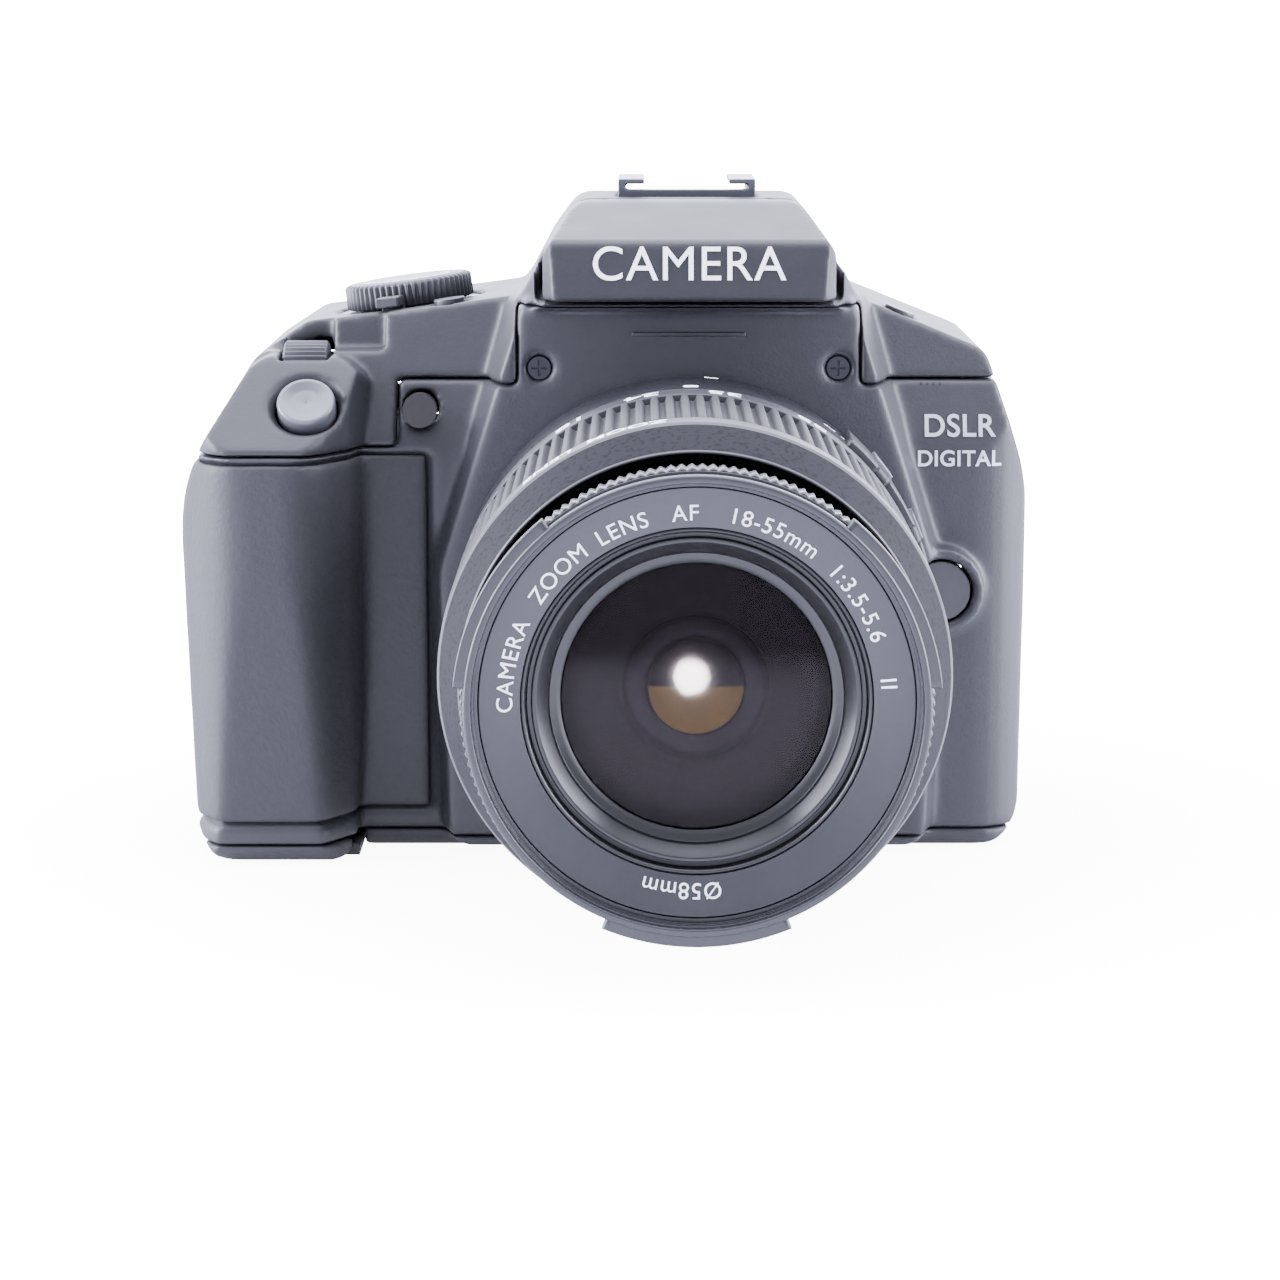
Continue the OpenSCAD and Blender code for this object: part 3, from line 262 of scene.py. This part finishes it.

# A low rib crosses the boss under the flash, and four black dots above the badge stand for the microphone
# holes: their black is painted shade of the holes.
rib = bmesh.new()
rib_size = Matrix.Diagonal((17, 1.4, 0.7, 1))
bmesh.ops.create_cube(rib, size=1, matrix=Matrix.Translation((0, 0, 79.6)) @ rib_size)
boss = bpy.data.objects["front_cover_moulding"]
boss_face = boss.ray_cast(Vector((0, -0.1, 0.0796)), Vector((0, 1, 0)))[1]
bmesh.ops.translate(rib, vec=(0, boss_face.y * 1000 + 0.3, 0), verts=rib.verts)
bmesh.ops.bevel(rib, geom=rib.edges[:], offset=0.25, segments=3, profile=0.5, material=-1, affect="EDGES")
bmesh.ops.scale(rib, vec=(MM, MM, MM), verts=rib.verts)
brow = bpy.data.meshes.new("brow_rib")
rib.to_mesh(brow)
rib.free()
place(brow, "brow_rib", "camera_body", cover_plastic)
hole_shade = paint("painted_hole_shade", "#050506", 0.7)
holes = laid_on(lettering("\u2022" * 4, 1.9, 0.01, 0.0, 1.3), (36.8, 71.2),
                bpy.data.objects["front_cover_moulding"])
place(holes, "microphone_holes", "camera_body", hole_shade, smooth=False)

# ---- Lens barrel and zoom ring ----
# Turned and moulded rings about the optical axis. The barrel and the front face of the zoom ring
# are matt black with fine dark flecks, and the zoom ring's rear band carries white focal lengths.
AXIS = Matrix(((1, 0, 0, 0), (0, 0, -1, -36), (0, 1, 0, 40), (0, 0, 0, 1)))


def eased(profile, size, segments=3):
    """A closed profile with each corner swapped for a short curve."""
    done = []
    for i, spot in enumerate(profile):
        here, back, on = Vector(spot), Vector(profile[i - 1]), Vector(profile[(i + 1) % len(profile)])
        cut = min(size, (back - here).length * 0.4, (on - here).length * 0.4)
        start, end = here + (back - here).normalized() * cut, here + (on - here).normalized() * cut
        for k in range(segments + 1):
            t = k / segments
            done.append((start * (1 - t) ** 2 + here * 2 * t * (1 - t) + end * t * t)[:])
    return done


def lathe(profile, steps=160, where=AXIS, start=0.0, sweep=360.0):
    """Turns a closed (radius, height) profile about local +Z, angles from local +Y to +X."""
    shape = bmesh.new()
    a = math.radians(start)
    loop = [shape.verts.new((r * math.sin(a), r * math.cos(a), z)) for r, z in profile]
    edges = [shape.edges.new((loop[i - 1], loop[i])) for i in range(len(loop))]
    bmesh.ops.spin(shape, geom=loop + edges, cent=(0, 0, 0), axis=(0, 0, -1), angle=math.radians(sweep),
                   steps=steps, use_merge=sweep == 360, use_duplicate=False)
    if sweep != 360:
        bmesh.ops.holes_fill(shape, edges=[e for e in shape.edges if e.is_boundary], sides=0)
    return finished(shape, where)


def finished(shape, where):
    """Welds a shape, turns its faces outward and hands it over in place, in metres."""
    bmesh.ops.remove_doubles(shape, verts=shape.verts, dist=1e-4)
    bmesh.ops.dissolve_degenerate(shape, edges=shape.edges, dist=1e-5)
    bmesh.ops.recalc_face_normals(shape, faces=shape.faces)
    bmesh.ops.transform(shape, matrix=Matrix.Scale(MM, 4) @ where, verts=shape.verts)
    done = bpy.data.meshes.new("turned")
    shape.to_mesh(done)
    shape.free()
    return done


def ribbed(levels, teeth, where=AXIS, closed=True, form=(0, 0.16, 0.22, 0.3, 0.38, 0.64, 0.72, 0.8, 0.86),
           rise=(0, 0, 0.4, 0.9, 1, 1, 0.9, 0.4, 0)):
    """A ring of teeth: each level is a height, the radius between teeth and over them."""
    shape = bmesh.new()
    rings = []
    for height, low, high in levels:
        ring = []
        for tooth in range(teeth):
            for along, up in zip(form, rise):
                a = 2 * math.pi * (tooth + along) / teeth
                r = low + (high - low) * up
                ring.append(shape.verts.new((r * math.sin(a), r * math.cos(a), height)))
        rings.append(ring)
    pairs = list(zip(rings, rings[1:])) + ([(rings[-1], rings[0])] if closed else [])
    for one, two in pairs:
        for i in range(len(one)):
            shape.faces.new((one[i - 1], one[i], two[i], two[i - 1]))
    if not closed:
        shape.faces.new(rings[0])
        shape.faces.new(rings[-1])
    return finished(shape, where)


def flecked(name, colour, rough, grain, depth):
    """Matt lens paint with sparse black flecks well under 1 mm wide."""
    made = plastic(name, colour, rough, grain, depth, 0.1)
    tree = made.node_tree
    skin = tree.nodes["Principled BSDF"]
    tint = skin.inputs["Base Color"].links[0].from_socket
    where = add(tree, "ShaderNodeTexCoord")
    cells = add(tree, "ShaderNodeTexNoise", {"Vector": where.outputs["Object"]},
                {"Scale": 1500, "Detail": 1})
    fleck = add(tree, "ShaderNodeMapRange", {"Value": cells.outputs["Fac"]},
                {"From Min": 0.58, "From Max": 0.6})
    mix = add(tree, "ShaderNodeMix", {0: fleck.outputs[0], 6: tint}, {7: linear("#030304")},
              data_type="RGBA")
    tree.links.new(mix.outputs[2], skin.inputs["Base Color"])
    return made


lens_black = flecked("flecked_black_lens_paint", "#101114", 0.62, 0.5, 0.02)
ring_satin = plastic("black_satin_ring", "#1D1E21", 0.44, 0.5, 0.01, 0.5)
smooth_black = plastic("black_satin_plastic", "#121316", 0.36, 0.5, 0.006, 0.4)
place(lathe(eased([(26.5, 3.05), (31.5, 3.05), (33.55, 5.4), (34.15, 8), (34.15, 24), (29.8, 24),
                   (29.8, 63.5), (28.6, 63.5), (28.6, 12), (26.5, 10)], 0.3)), "barrel_shell", "camera_body",
      lens_black, "lens_barrel")
place(lathe(eased([(29.9, 24.3), (34.15, 24.3), (34.15, 31.8), (32.25, 31.8), (32.25, 62.2), (34.25, 62.2),
                   (34.15, 66.4), (33.85, 67), (31.25, 72.5), (30.95, 73), (30.7, 73), (30.7, 64.4),
                   (29.9, 64.4)], 0.25)), "zoom_ring_shell", "zoom", ring_satin, "zoom_ring")
shell = bpy.data.objects["zoom_ring_shell"].data
shell.materials.append(lens_black)
for face in shell.polygons:
    if -0.1088 < face.center.y < -0.1031 and math.hypot(face.center.x, face.center.z - 0.04) > 0.0309:
        face.material_index = 1

# ---- Switch pad ----
# A raised curved pad on the barrel holds the two slide switches, each in its own window.
pad_black = plastic("black_switch_pad", "#191A1C", 0.42, 0.5, 0.01)
pad = [(33.5, 8.4), (35.0, 8.4), (35.25, 8.8), (35.25, 22.8), (35.0, 23.2), (33.5, 23.2)]
for k, (start, sweep) in enumerate(((41, 8.9), (54.1, 11.8), (70.1, 8.9))):
    place(lathe(eased(pad, 0.15), 12, AXIS, start, sweep), "switch_pad_%d" % k, "camera_body", pad_black)
for k, (low, high) in enumerate(((8.4, 10.6), (21.6, 23.2))):
    for m, start in enumerate((49.9, 65.9)):
        place(lathe([(33.5, low), (35.25, low), (35.25, high), (33.5, high)], 8, AXIS, start, 4.2),
              "switch_pad_end_%d%d" % (k, m), "camera_body", pad_black)


def wrapped(mesh, radius, angle, height, from_rear=True, tilt=0.0):
    """Wraps lettering round a ring at that angle from the top, tops towards the front."""
    way = -1 if from_rear else 1
    for point in mesh.vertices:
        x, y, out = point.co
        a = math.radians(angle) + way * x / radius
        z = height - way * y
        r = radius + 0.02 + out - tilt * (z - height)
        point.co = MM * (AXIS @ Vector((r * math.sin(a), r * math.cos(a), z)))
    return mesh


for words, angle in (("18", -30), ("24", -12), ("35", 8), ("55", 30)):
    place(wrapped(lettering(words, 5.2, 0.03, 0.05), 34.15, angle, 28.1), "focal_length_" + words, "zoom",
          white_ink, smooth=False)
place(wrapped(lettering("ZOOM  LENS", 3.6, 0.03, 0.05), 34.22, -24, 64.5, tilt=0.02),
      "zoom_ring_lettering", "zoom", white_ink, smooth=False)
for words, angle, name in (("AF  MF", 38.6, "focus_switch_lettering"),
                           ("ON  OFF", 82.6, "stabiliser_lettering")):
    place(wrapped(lettering(words, 1.7, 0.03), 34.15, angle, 15.8), name, "camera_body", white_ink,
          smooth=False)
place(lathe([(0.02, 0), (1.1, 0), (1.1, 0.1), (0.02, 0.1)], 24,
            AXIS @ Matrix.Translation((0, 34.12, 21.6)) @ Matrix.Rotation(math.radians(-90), 4, "X")),
      "index_dot", "camera_body", white_ink)
lens_mark = paint("white_mount_mark", "#F4F4F4", 0.4)
place(lathe([(33.4, 5.6), (33.75, 5.7), (34.22, 7.9), (34.15, 8.0), (33.4, 8.0)], 4, AXIS, 3.6, 3.4),
      "mount_mark", "camera_body", lens_mark)

# ---- Zoom rubber ----
# A stretched rubber sleeve with a hundred broad ribs along the barrel, matt and dusty grey where
# the light catches the crowns.
ribbed_rubber = plastic("ribbed_black_rubber", "#1E1F21", 0.6, 0.5, 0.03, 0.4)
place(ribbed([(32.05, 32.3, 32.3), (32.05, 33.2, 33.35), (32.3, 33.2, 33.75), (32.9, 33.2, 34.1),
              (33.6, 33.2, 34.22), (60.4, 33.2, 34.22), (61.1, 33.2, 34.1), (61.7, 33.2, 33.75),
              (61.95, 33.2, 33.35), (61.95, 32.3, 32.3)], 100), "zoom_sleeve", "zoom", ribbed_rubber,
      "zoom_rubber")

# ---- Front group ----
# The inner tubes run in the zoom ring. The focus ring at the front has a fine knurl, three lugs
# for a hood and the filter thread, and holds the name ring.
place(lathe(eased([(26.95, 30.2), (28.5, 30.2), (28.5, 77.4), (26.95, 77.4)], 0.3)), "inner_tube",
      "inner_barrel", smooth_black, "inner_barrel")
place(lathe(eased([(25.66, 48.3), (26.82, 48.3), (26.82, 79.5), (25.66, 79.5)], 0.3)), "focusing_tube",
      "focus_tube", smooth_black, "focus_tube")
front_black = plastic("black_front_ring", "#1D1E21", 0.3, 0.5, 0.008)
place(lathe(eased([(24.5, 62.4), (25.5, 62.4), (25.5, 80.3), (29.95, 80.3), (29.95, 84.9), (29.4, 84.9),
                   (29.4, 86.2), (29.75, 86.5), (29.75, 87.9), (29.45, 88.15), (28.85, 88.15), (28.65, 87.9),
                   (28.65, 85.1), (27.98, 85.1), (27.98, 84.25), (22.9, 82.8), (22.9, 81.6), (24.5, 81.2)],
                  0.12), 200),
      "focus_ring_shell", "front_group", front_black, "focus_ring")
place(ribbed([(80.5, 29.8, 29.8), (80.5, 29.98, 30.1), (80.75, 29.98, 30.38), (84.25, 29.98, 30.38),
              (84.6, 29.98, 30.1), (84.6, 29.8, 29.8)], 142, form=(0, 0.42, 0.58), rise=(0, 1, 1)),
      "focus_knurl", "front_group", front_black)
lug = [(29.3, 86.1), (31.0, 86.1), (31.12, 86.3), (31.12, 87.7), (31.0, 87.88), (29.3, 87.88)]
for k, middle in enumerate((180, 298, 62)):
    place(lathe(eased(lug, 0.1), 28, AXIS, middle - 23, 46), "hood_lug_%d" % k, "front_group", front_black)
for k in range(3):
    low = 85.4 + k * 0.8
    high = 85.75 + k * 0.8
    place(lathe(eased([(28.42, low), (28.8, low), (28.8, high), (28.42, high)], 0.1), 160),
          "filter_thread_%d" % k, "front_group", front_black)

# ---- Name ring ----
# A dished satin ring round the glass with the focal length and aperture printed in white.
ring_black = plastic("black_name_ring", "#232427", 0.36, 0.5, 0.006)
place(lathe(eased([(22.6, 83.02), (27.85, 84.3), (27.85, 84.88), (27.6, 84.85), (22.6, 83.82)], 0.08), 200),
      "ring_face", "front_group", ring_black, "name_ring")


def around(mesh, radius, angle):
    """Bends lettering round the dished ring, tops outward, centred that far from the top."""
    for point in mesh.vertices:
        x, y, out = point.co
        a, r = math.radians(angle) + x / radius, radius + y
        z = 83.86 + (r - 22.6) * 0.206 + out
        point.co = MM * (AXIS @ Vector((r * math.sin(a), r * math.cos(a), z)))
    return mesh


for name, words, angle in (
        ("kind", "CAMERA", -78.5), ("zoom", "ZOOM", -46.5), ("lens", "LENS", -23), ("focus", "AF", -3.6),
        ("range", "18-55mm", 23.8), ("aperture", "1:3.5-5.6", 57.5), ("version", "II", 84),
        ("filter", "\u00d858mm", 184.6)):
    place(around(lettering(words, 2.95, 0.03, 0.0, 1.1), 24.45, angle), "ring_text_" + name, "front_group",
          white_ink, smooth=False)

# ---- Front glass ----
# A domed, coated element in a stepped black cell. Behind it the black stop narrows to the
# entrance pupil, where the lower half of a small element is painted amber: painted light standing for the
# lit mirror box seen down the lens.
def dome(radius, rim, bulge, points=14):
    """Profile points of a lens surface from its axis to its rim."""
    ball = (radius ** 2 + bulge ** 2) / (2 * abs(bulge))
    return [(r, rim + math.copysign(math.sqrt(ball ** 2 - r * r) - ball + abs(bulge), bulge))
            for r in [radius * k / points for k in range(points + 1)]]


def coated(name, tint, glint, share):
    """Thin coated glass seen from outside: mostly clear with a weak tinted mirror reflection."""
    made = bpy.data.materials.new(name)
    made.use_nodes = True
    tree = made.node_tree
    tree.nodes.remove(tree.nodes["Principled BSDF"])
    through = add(tree, "ShaderNodeBsdfTransparent", {}, {"Color": linear(tint)})
    where = add(tree, "ShaderNodeTexCoord")
    dust = add(tree, "ShaderNodeTexNoise", {"Vector": where.outputs["Object"]},
               {"Scale": 500, "Detail": 2})
    haze = add(tree, "ShaderNodeMapRange", {"Value": dust.outputs["Fac"]},
               {"To Min": 0.06, "To Max": 0.09})
    mirror = add(tree, "ShaderNodeBsdfGlossy", {"Roughness": haze.outputs[0]}, {"Color": linear(glint)})
    edge = add(tree, "ShaderNodeFresnel", {}, {"IOR": 1.5})
    part = add(tree, "ShaderNodeMath", {0: edge.outputs[0]}, {1: share}, operation="MULTIPLY")
    blend = add(tree, "ShaderNodeMixShader",
                {0: part.outputs[0], 1: through.outputs[0], 2: mirror.outputs[0]})
    tree.links.new(blend.outputs[0], tree.nodes["Material Output"].inputs["Surface"])
    return made


front_glass = coated("coated_front_glass", "#D2CDD2", "#EEE4E6", 0.24)
place(lathe(dome(20.4, 78.6, 3.2) + dome(20.4, 75.8, 3.2)[::-1], 160), "front_glass", "front_group",
      front_glass, "front_elements")
cell_black = plastic("black_anodised_cell", "#0B0C0E", 0.3, 0.5, 0.004, 0.45)
place(lathe(eased([(22.55, 81.6), (22.55, 83.5), (22.2, 83.62), (21.9, 83.3), (21.8, 82.1), (21.2, 81.95),
                   (21.1, 82.6), (20.6, 82.6), (19.1, 81.0), (18.9, 80.5), (18.1, 80.2), (17.5, 79.8),
                   (17.5, 79.6), (20.5, 78.75), (20.5, 75.6), (21.0, 75.0), (22.55, 76)], 0.12), 200),
      "front_cell", "front_group", cell_black)
stop_black = plastic("black_baffle", "#060608", 0.6, 3.0, 0.002, 0.2)
steps = [(20.4, 75.5)]
for k in range(5):
    steps += [(19.2 - 1.9 * k, 75.0 - 0.42 * k), (17.9 - 1.9 * k, 75.15 - 0.42 * k)]
place(lathe(steps + [(9.6, 73.0), (9.6, 72.2), (20.4, 72.2)], 160), "baffle", "front_group",
      stop_black)

# The inner element is dark purple. At its centre the pupil is painted amber below and black above: a painted
# view of the lit mirror box, not a coating colour.
inner_purple = plastic("purple_coated_element", "#0C0913", 0.2, 4.0, 0.0005, 0.3)
place(lathe([(6.3, 72.75), (7.9, 73.1), (8.1, 73.0), (9.6, 72.95), (9.6, 72.3), (6.3, 72.3)], 96),
      "inner_element", "front_group", inner_purple)
pupil = bpy.data.materials.new("pupil_painted_mirror_light")
pupil.use_nodes = True
tree = pupil.node_tree
where = add(tree, "ShaderNodeTexCoord")
height = add(tree, "ShaderNodeSeparateXYZ", {0: where.outputs["Object"]})
half = add(tree, "ShaderNodeMapRange", {"Value": height.outputs["Z"]},
           {"From Min": 0.0399, "From Max": 0.0403})
cloud = add(tree, "ShaderNodeTexNoise", {"Vector": where.outputs["Object"]}, {"Scale": 300, "Detail": 2})
warm = add(tree, "ShaderNodeMix", {0: cloud.outputs["Fac"]}, {6: linear("#857020"), 7: linear("#9F8636")},
           data_type="RGBA")
amber = add(tree, "ShaderNodeMix", {0: half.outputs[0], 6: warm.outputs[2]}, {7: linear("#0A0910")},
            data_type="RGBA")
skin = tree.nodes["Principled BSDF"]
tree.links.new(amber.outputs[2], skin.inputs["Base Color"])
skin.inputs["Roughness"].default_value = 0.5
skin.inputs["Specular IOR Level"].default_value = 0.2
place(lathe(dome(6.2, 72.7, 0.5) + [(6.2, 72.3), (0, 72.3)], 64), "pupil_element", "front_group", pupil)

# A small round lamp that lights only the glass leaves its bright round reflection there.
disc = bpy.data.lights.new("round_lamp", "AREA")
disc.shape, disc.size, disc.energy = "DISK", 0.032, 1.3
lamp = bpy.data.objects.new("round_lamp", disc)
lamp.location, lamp.rotation_euler = (-0.002, -0.318, 0.0235), (math.radians(90), 0, 0)
lamp.visible_camera = False
caught = bpy.data.collections.new("catchlight")
caught.objects.link(bpy.data.objects["front_glass"])
lamp.light_linking.receiver_collection = caught
bpy.context.scene.collection.objects.link(lamp)

# ---- Shutter button, dials and switches ----
# The shutter button is bright satin metal-look plastic; the dials are black with a crisp knurl and
# white marks on the mode dial.
button_silver = plastic("satin_grey_button", "#4A4C51", 0.36, 0.5, 0.004, 0.8)
slope = Matrix.Translation((-57, -35.8, 69.2)) @ Matrix.Rotation(math.radians(45), 4, "X")
cap = [(0, 0.35), (2.4, 0.5), (3.7, 1.05), (4.2, 0.95), (4.38, 0.4), (4.38, -2.6), (0, -2.6)]
place(lathe(eased(cap, 0.3), 72, slope), "release_cap", "shutter_button", button_silver, "shutter_button")
dial_black = plastic("black_dial", "#25262A", 0.42, 0.4, 0.01)
tip = Matrix.Translation((-43, -3, 79.8)) @ Matrix.Rotation(math.asin(-0.1305), 4, "Y")
place(ribbed([(2.1, 9.2, 9.2), (2.2, 9.45, 9.8), (2.4, 9.5, 9.98), (5.5, 9.5, 9.98), (5.75, 9.4, 9.7),
              (5.95, 9.2, 9.3), (6.02, 8.7, 8.7)], 60, tip, False, (0, 0.4, 0.55, 0.85), (0, 0, 1, 1)),
      "mode_dial_cap", "mode_dial", dial_black, "mode_dial")
place(lathe(eased([(0, 6.0), (8.1, 6.0), (8.1, 6.08), (0, 6.08)], 0.02), 80, tip), "mode_dial_plate",
      "mode_dial", smooth_black)
for k, words in enumerate(("P", "S", "A", "M", "SCN", "CA", "AUTO", "\u25a1", "\u25cb")):
    letters = lettering(words, 2.3 if len(words) < 3 else 1.5, 0.02, 0.03)
    turn = tip @ Matrix.Rotation(math.radians(40 * k), 4, "Z") @ Matrix.Translation((0, 6.6, 6.11))
    letters.transform(Matrix.Scale(MM, 4) @ turn)
    place(letters, "mode_mark_%d" % k, "mode_dial", white_ink, smooth=False)
wheel = Matrix.Translation((-58, -22, 70.6)) @ Matrix.Rotation(math.radians(90), 4, "Y")
place(ribbed([(-3.4, 5.8, 5.8), (-3.35, 6.4, 6.5), (-3.0, 6.5, 6.95), (3.0, 6.5, 6.95), (3.35, 6.4, 6.5),
              (3.4, 5.8, 5.8)], 44, wheel, False, (0, 0.35, 0.55, 0.8), (0, 0, 1, 1)),
      "command_dial", "main_dial", dial_black, "main_dial")
small_black = plastic("black_button_plastic", "#222326", 0.4, 0.4, 0.006)
for node, name, voxel in (
        ("power_switch", "power_lever", 0.2), ("flash_button", "flash_key", 0.16),
        ("speed_button", "speed_key", 0.16), ("release_button", "lens_release", 0.2),
        ("diopter_dial", "diopter_knob", 0.16), ("live_view_button", "live_view_key", 0.16),
        ("zoom_rocker", "zoom_key", 0.18), ("exposure_button", "exposure_key", 0.16),
        ("quick_button", "quick_key", 0.16), ("four_way_pad", "pad_key", 0.2),
        ("set_button", "set_key", 0.16), ("play_button", "play_key", 0.16),
        ("erase_button", "erase_key", 0.16), ("menu_button", "menu_key", 0.16),
        ("battery_door", "battery_lid", 0.4), ("door_latch", "lid_latch", 0.2)):
    place(softened(node, voxel, 3), name, node, small_black if voxel < 0.3 else base_plastic, node)
switch_grey = plastic("grey_switch_plastic", "#5A5C61", 0.38, 0.4, 0.006)
for node in ("af_switch", "stabiliser_switch"):
    place(softened(node, 0.12, 3), node + "_knob", node, switch_grey, node)

# Small white marks name the rear keys; those on a key move with it.
for name, words, size in (("exposure", "+/-", 2.4), ("quick", "Q", 3.0), ("play", ">", 3.2),
                          ("erase", "DEL", 1.7), ("menu", "MENU", 1.25), ("set", "SET", 2.6),
                          ("live_view", "LV", 2.4)):
    key = bpy.data.objects[name + "_key"]
    corners = [Vector(c) * 1000 for c in key.bound_box]
    middle = (sum(c.x for c in corners) / 8, sum(c.z for c in corners) / 8)
    place(laid_on(lettering(words, size, 0.02, 0.02), middle, key, 0.02, True),
          "key_mark_" + name.split("_")[0], name + "_button", white_ink, smooth=False)
for words, x, z in (("ISO", -48, 38.6), ("WB", -48, 23.4), ("AF", -40.4, 31), ("DRV", -55.8, 31)):
    place(laid_on(lettering(words, 1.9, 0.02, 0.02), (x, z), bpy.data.objects["pad_key"], 0.02, True),
          "pad_mark_" + words.lower(), "four_way_pad", white_ink, smooth=False)

# ---- Rubber parts ----
# The eyecup and the side flap over the sockets are soft rubber, matt and a little paler than the covers.
soft_black = plastic("soft_black_rubber", "#1C1C1E", 0.7, 0.6, 0.03, 0.35)
place(softened("eyecup", 0.32, 5), "eyecup_rubber", "eyecup", soft_black, "eyecup")
place(softened("terminal_cover", 0.32, 5), "socket_flap", "terminal_cover", soft_black, "terminal_cover")

# ---- Metal parts ----
# The hot shoe rails, mount ring, lens bayonet and tripod bush are bare metal with fine turning or
# brushing marks; the screws are blackened.
def metal(name, colour, rough, streak=(1, 1, 1), lines=900):
    """Bare metal with fine marks stretched along one direction."""
    made = bpy.data.materials.new(name)
    made.use_nodes = True
    tree = made.node_tree
    skin = tree.nodes["Principled BSDF"]
    skin.inputs["Base Color"].default_value = linear(colour)
    skin.inputs["Metallic"].default_value = 1.0
    where = add(tree, "ShaderNodeTexCoord")
    drawn = add(tree, "ShaderNodeMapping", {"Vector": where.outputs["Object"]}, {"Scale": streak})
    marks = add(tree, "ShaderNodeTexNoise", {"Vector": drawn.outputs["Vector"]},
                {"Scale": lines, "Detail": 3})
    gloss = add(tree, "ShaderNodeMapRange", {"Value": marks.outputs["Fac"]},
                {"To Min": rough - 0.08, "To Max": rough + 0.1})
    tree.links.new(gloss.outputs[0], skin.inputs["Roughness"])
    relief = add(tree, "ShaderNodeBump", {"Height": marks.outputs["Fac"]},
                 {"Strength": 0.4, "Distance": 0.00002})
    tree.links.new(relief.outputs[0], skin.inputs["Normal"])
    return made


shoe_steel = metal("brushed_steel", "#55575B", 0.36, (1, 0.05, 1))
place(softened("hot_shoe", 0.2, 2), "shoe_rails", "camera_body", shoe_steel, "hot_shoe")
turned_steel = metal("turned_steel", "#B9BBBF", 0.28, (1, 0.1, 1))
dark_steel = metal("blackened_steel", "#3A3B3E", 0.38)
alloy = metal("cast_alloy", "#84868B", 0.5, (1, 1, 1), 400)
silvered = metal("silvered_glass", "#E6E8EC", 0.09)
blade = metal("blackened_blade", "#2A2B2E", 0.35, (0.05, 1, 1))

# ---- Rear screen and lamp lens ----
# A flush hard-coated window over a dark display, and the smoked lens of the self-timer lamp.
window_glass = coated("hard_coated_window", "#77777D", "#FFFFFF", 0.25)
display_black = plastic("dark_display", "#050608", 0.6, 2.0, 0.001, 0.1)
lamp_lens = plastic("smoked_lamp_lens", "#150F10", 0.4, 0.5, 0.004, 0.4)

# ---- Inner parts ----
# Everything behind the covers keeps its built shape: the chassis, boards, battery, card, prism
# box, shutter frame, mirrors and inner glass.
def hard_coat(name, colour, rough):
    """A clear hard coat over a plain colour: very smooth with faint wipe marks."""
    made = bpy.data.materials.new(name)
    made.use_nodes = True
    tree = made.node_tree
    skin = tree.nodes["Principled BSDF"]
    skin.inputs["Base Color"].default_value = linear(colour)
    skin.inputs["Coat Weight"].default_value = 1.0
    where = add(tree, "ShaderNodeTexCoord")
    wiped = add(tree, "ShaderNodeTexNoise", {"Vector": where.outputs["Object"]}, {"Scale": 60, "Detail": 3})
    smear = add(tree, "ShaderNodeMapRange", {"Value": wiped.outputs["Fac"]},
                {"To Min": rough, "To Max": rough + 0.08})
    tree.links.new(smear.outputs[0], skin.inputs["Roughness"])
    return made


board_green = hard_coat("green_solder_mask", "#12402A", 0.35)
inner_grey = plastic("grey_inner_plastic", "#2B2C2F", 0.5, 0.5, 0.01)
card_blue = plastic("blue_card_plastic", "#1E3A6B", 0.4, 0.5, 0.006)
inner_glass = coated("inner_glass", "#D9DEDC", "#D8E4DC", 0.6)
for nodes, finish in (
        ("chassis shutter_frame", alloy), ("mount_ring tripod_socket lens_bayonet", turned_steel),
        ("cover_screws", dark_steel), ("lcd_window flash_window", window_glass),
        ("viewfinder_lenses rear_elements", inner_glass), ("main_mirror sub_mirror", silvered),
        ("pentamirror battery_box battery aperture_unit", inner_grey), ("memory_card", card_blue),
        ("main_board image_sensor", board_green), ("lcd_panel", display_black), ("timer_lamp", lamp_lens),
        ("shutter_curtain", blade)):
    for node in nodes.split():
        skin_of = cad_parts[node].data
        skin_of.materials.clear()
        skin_of.materials.append(finish)
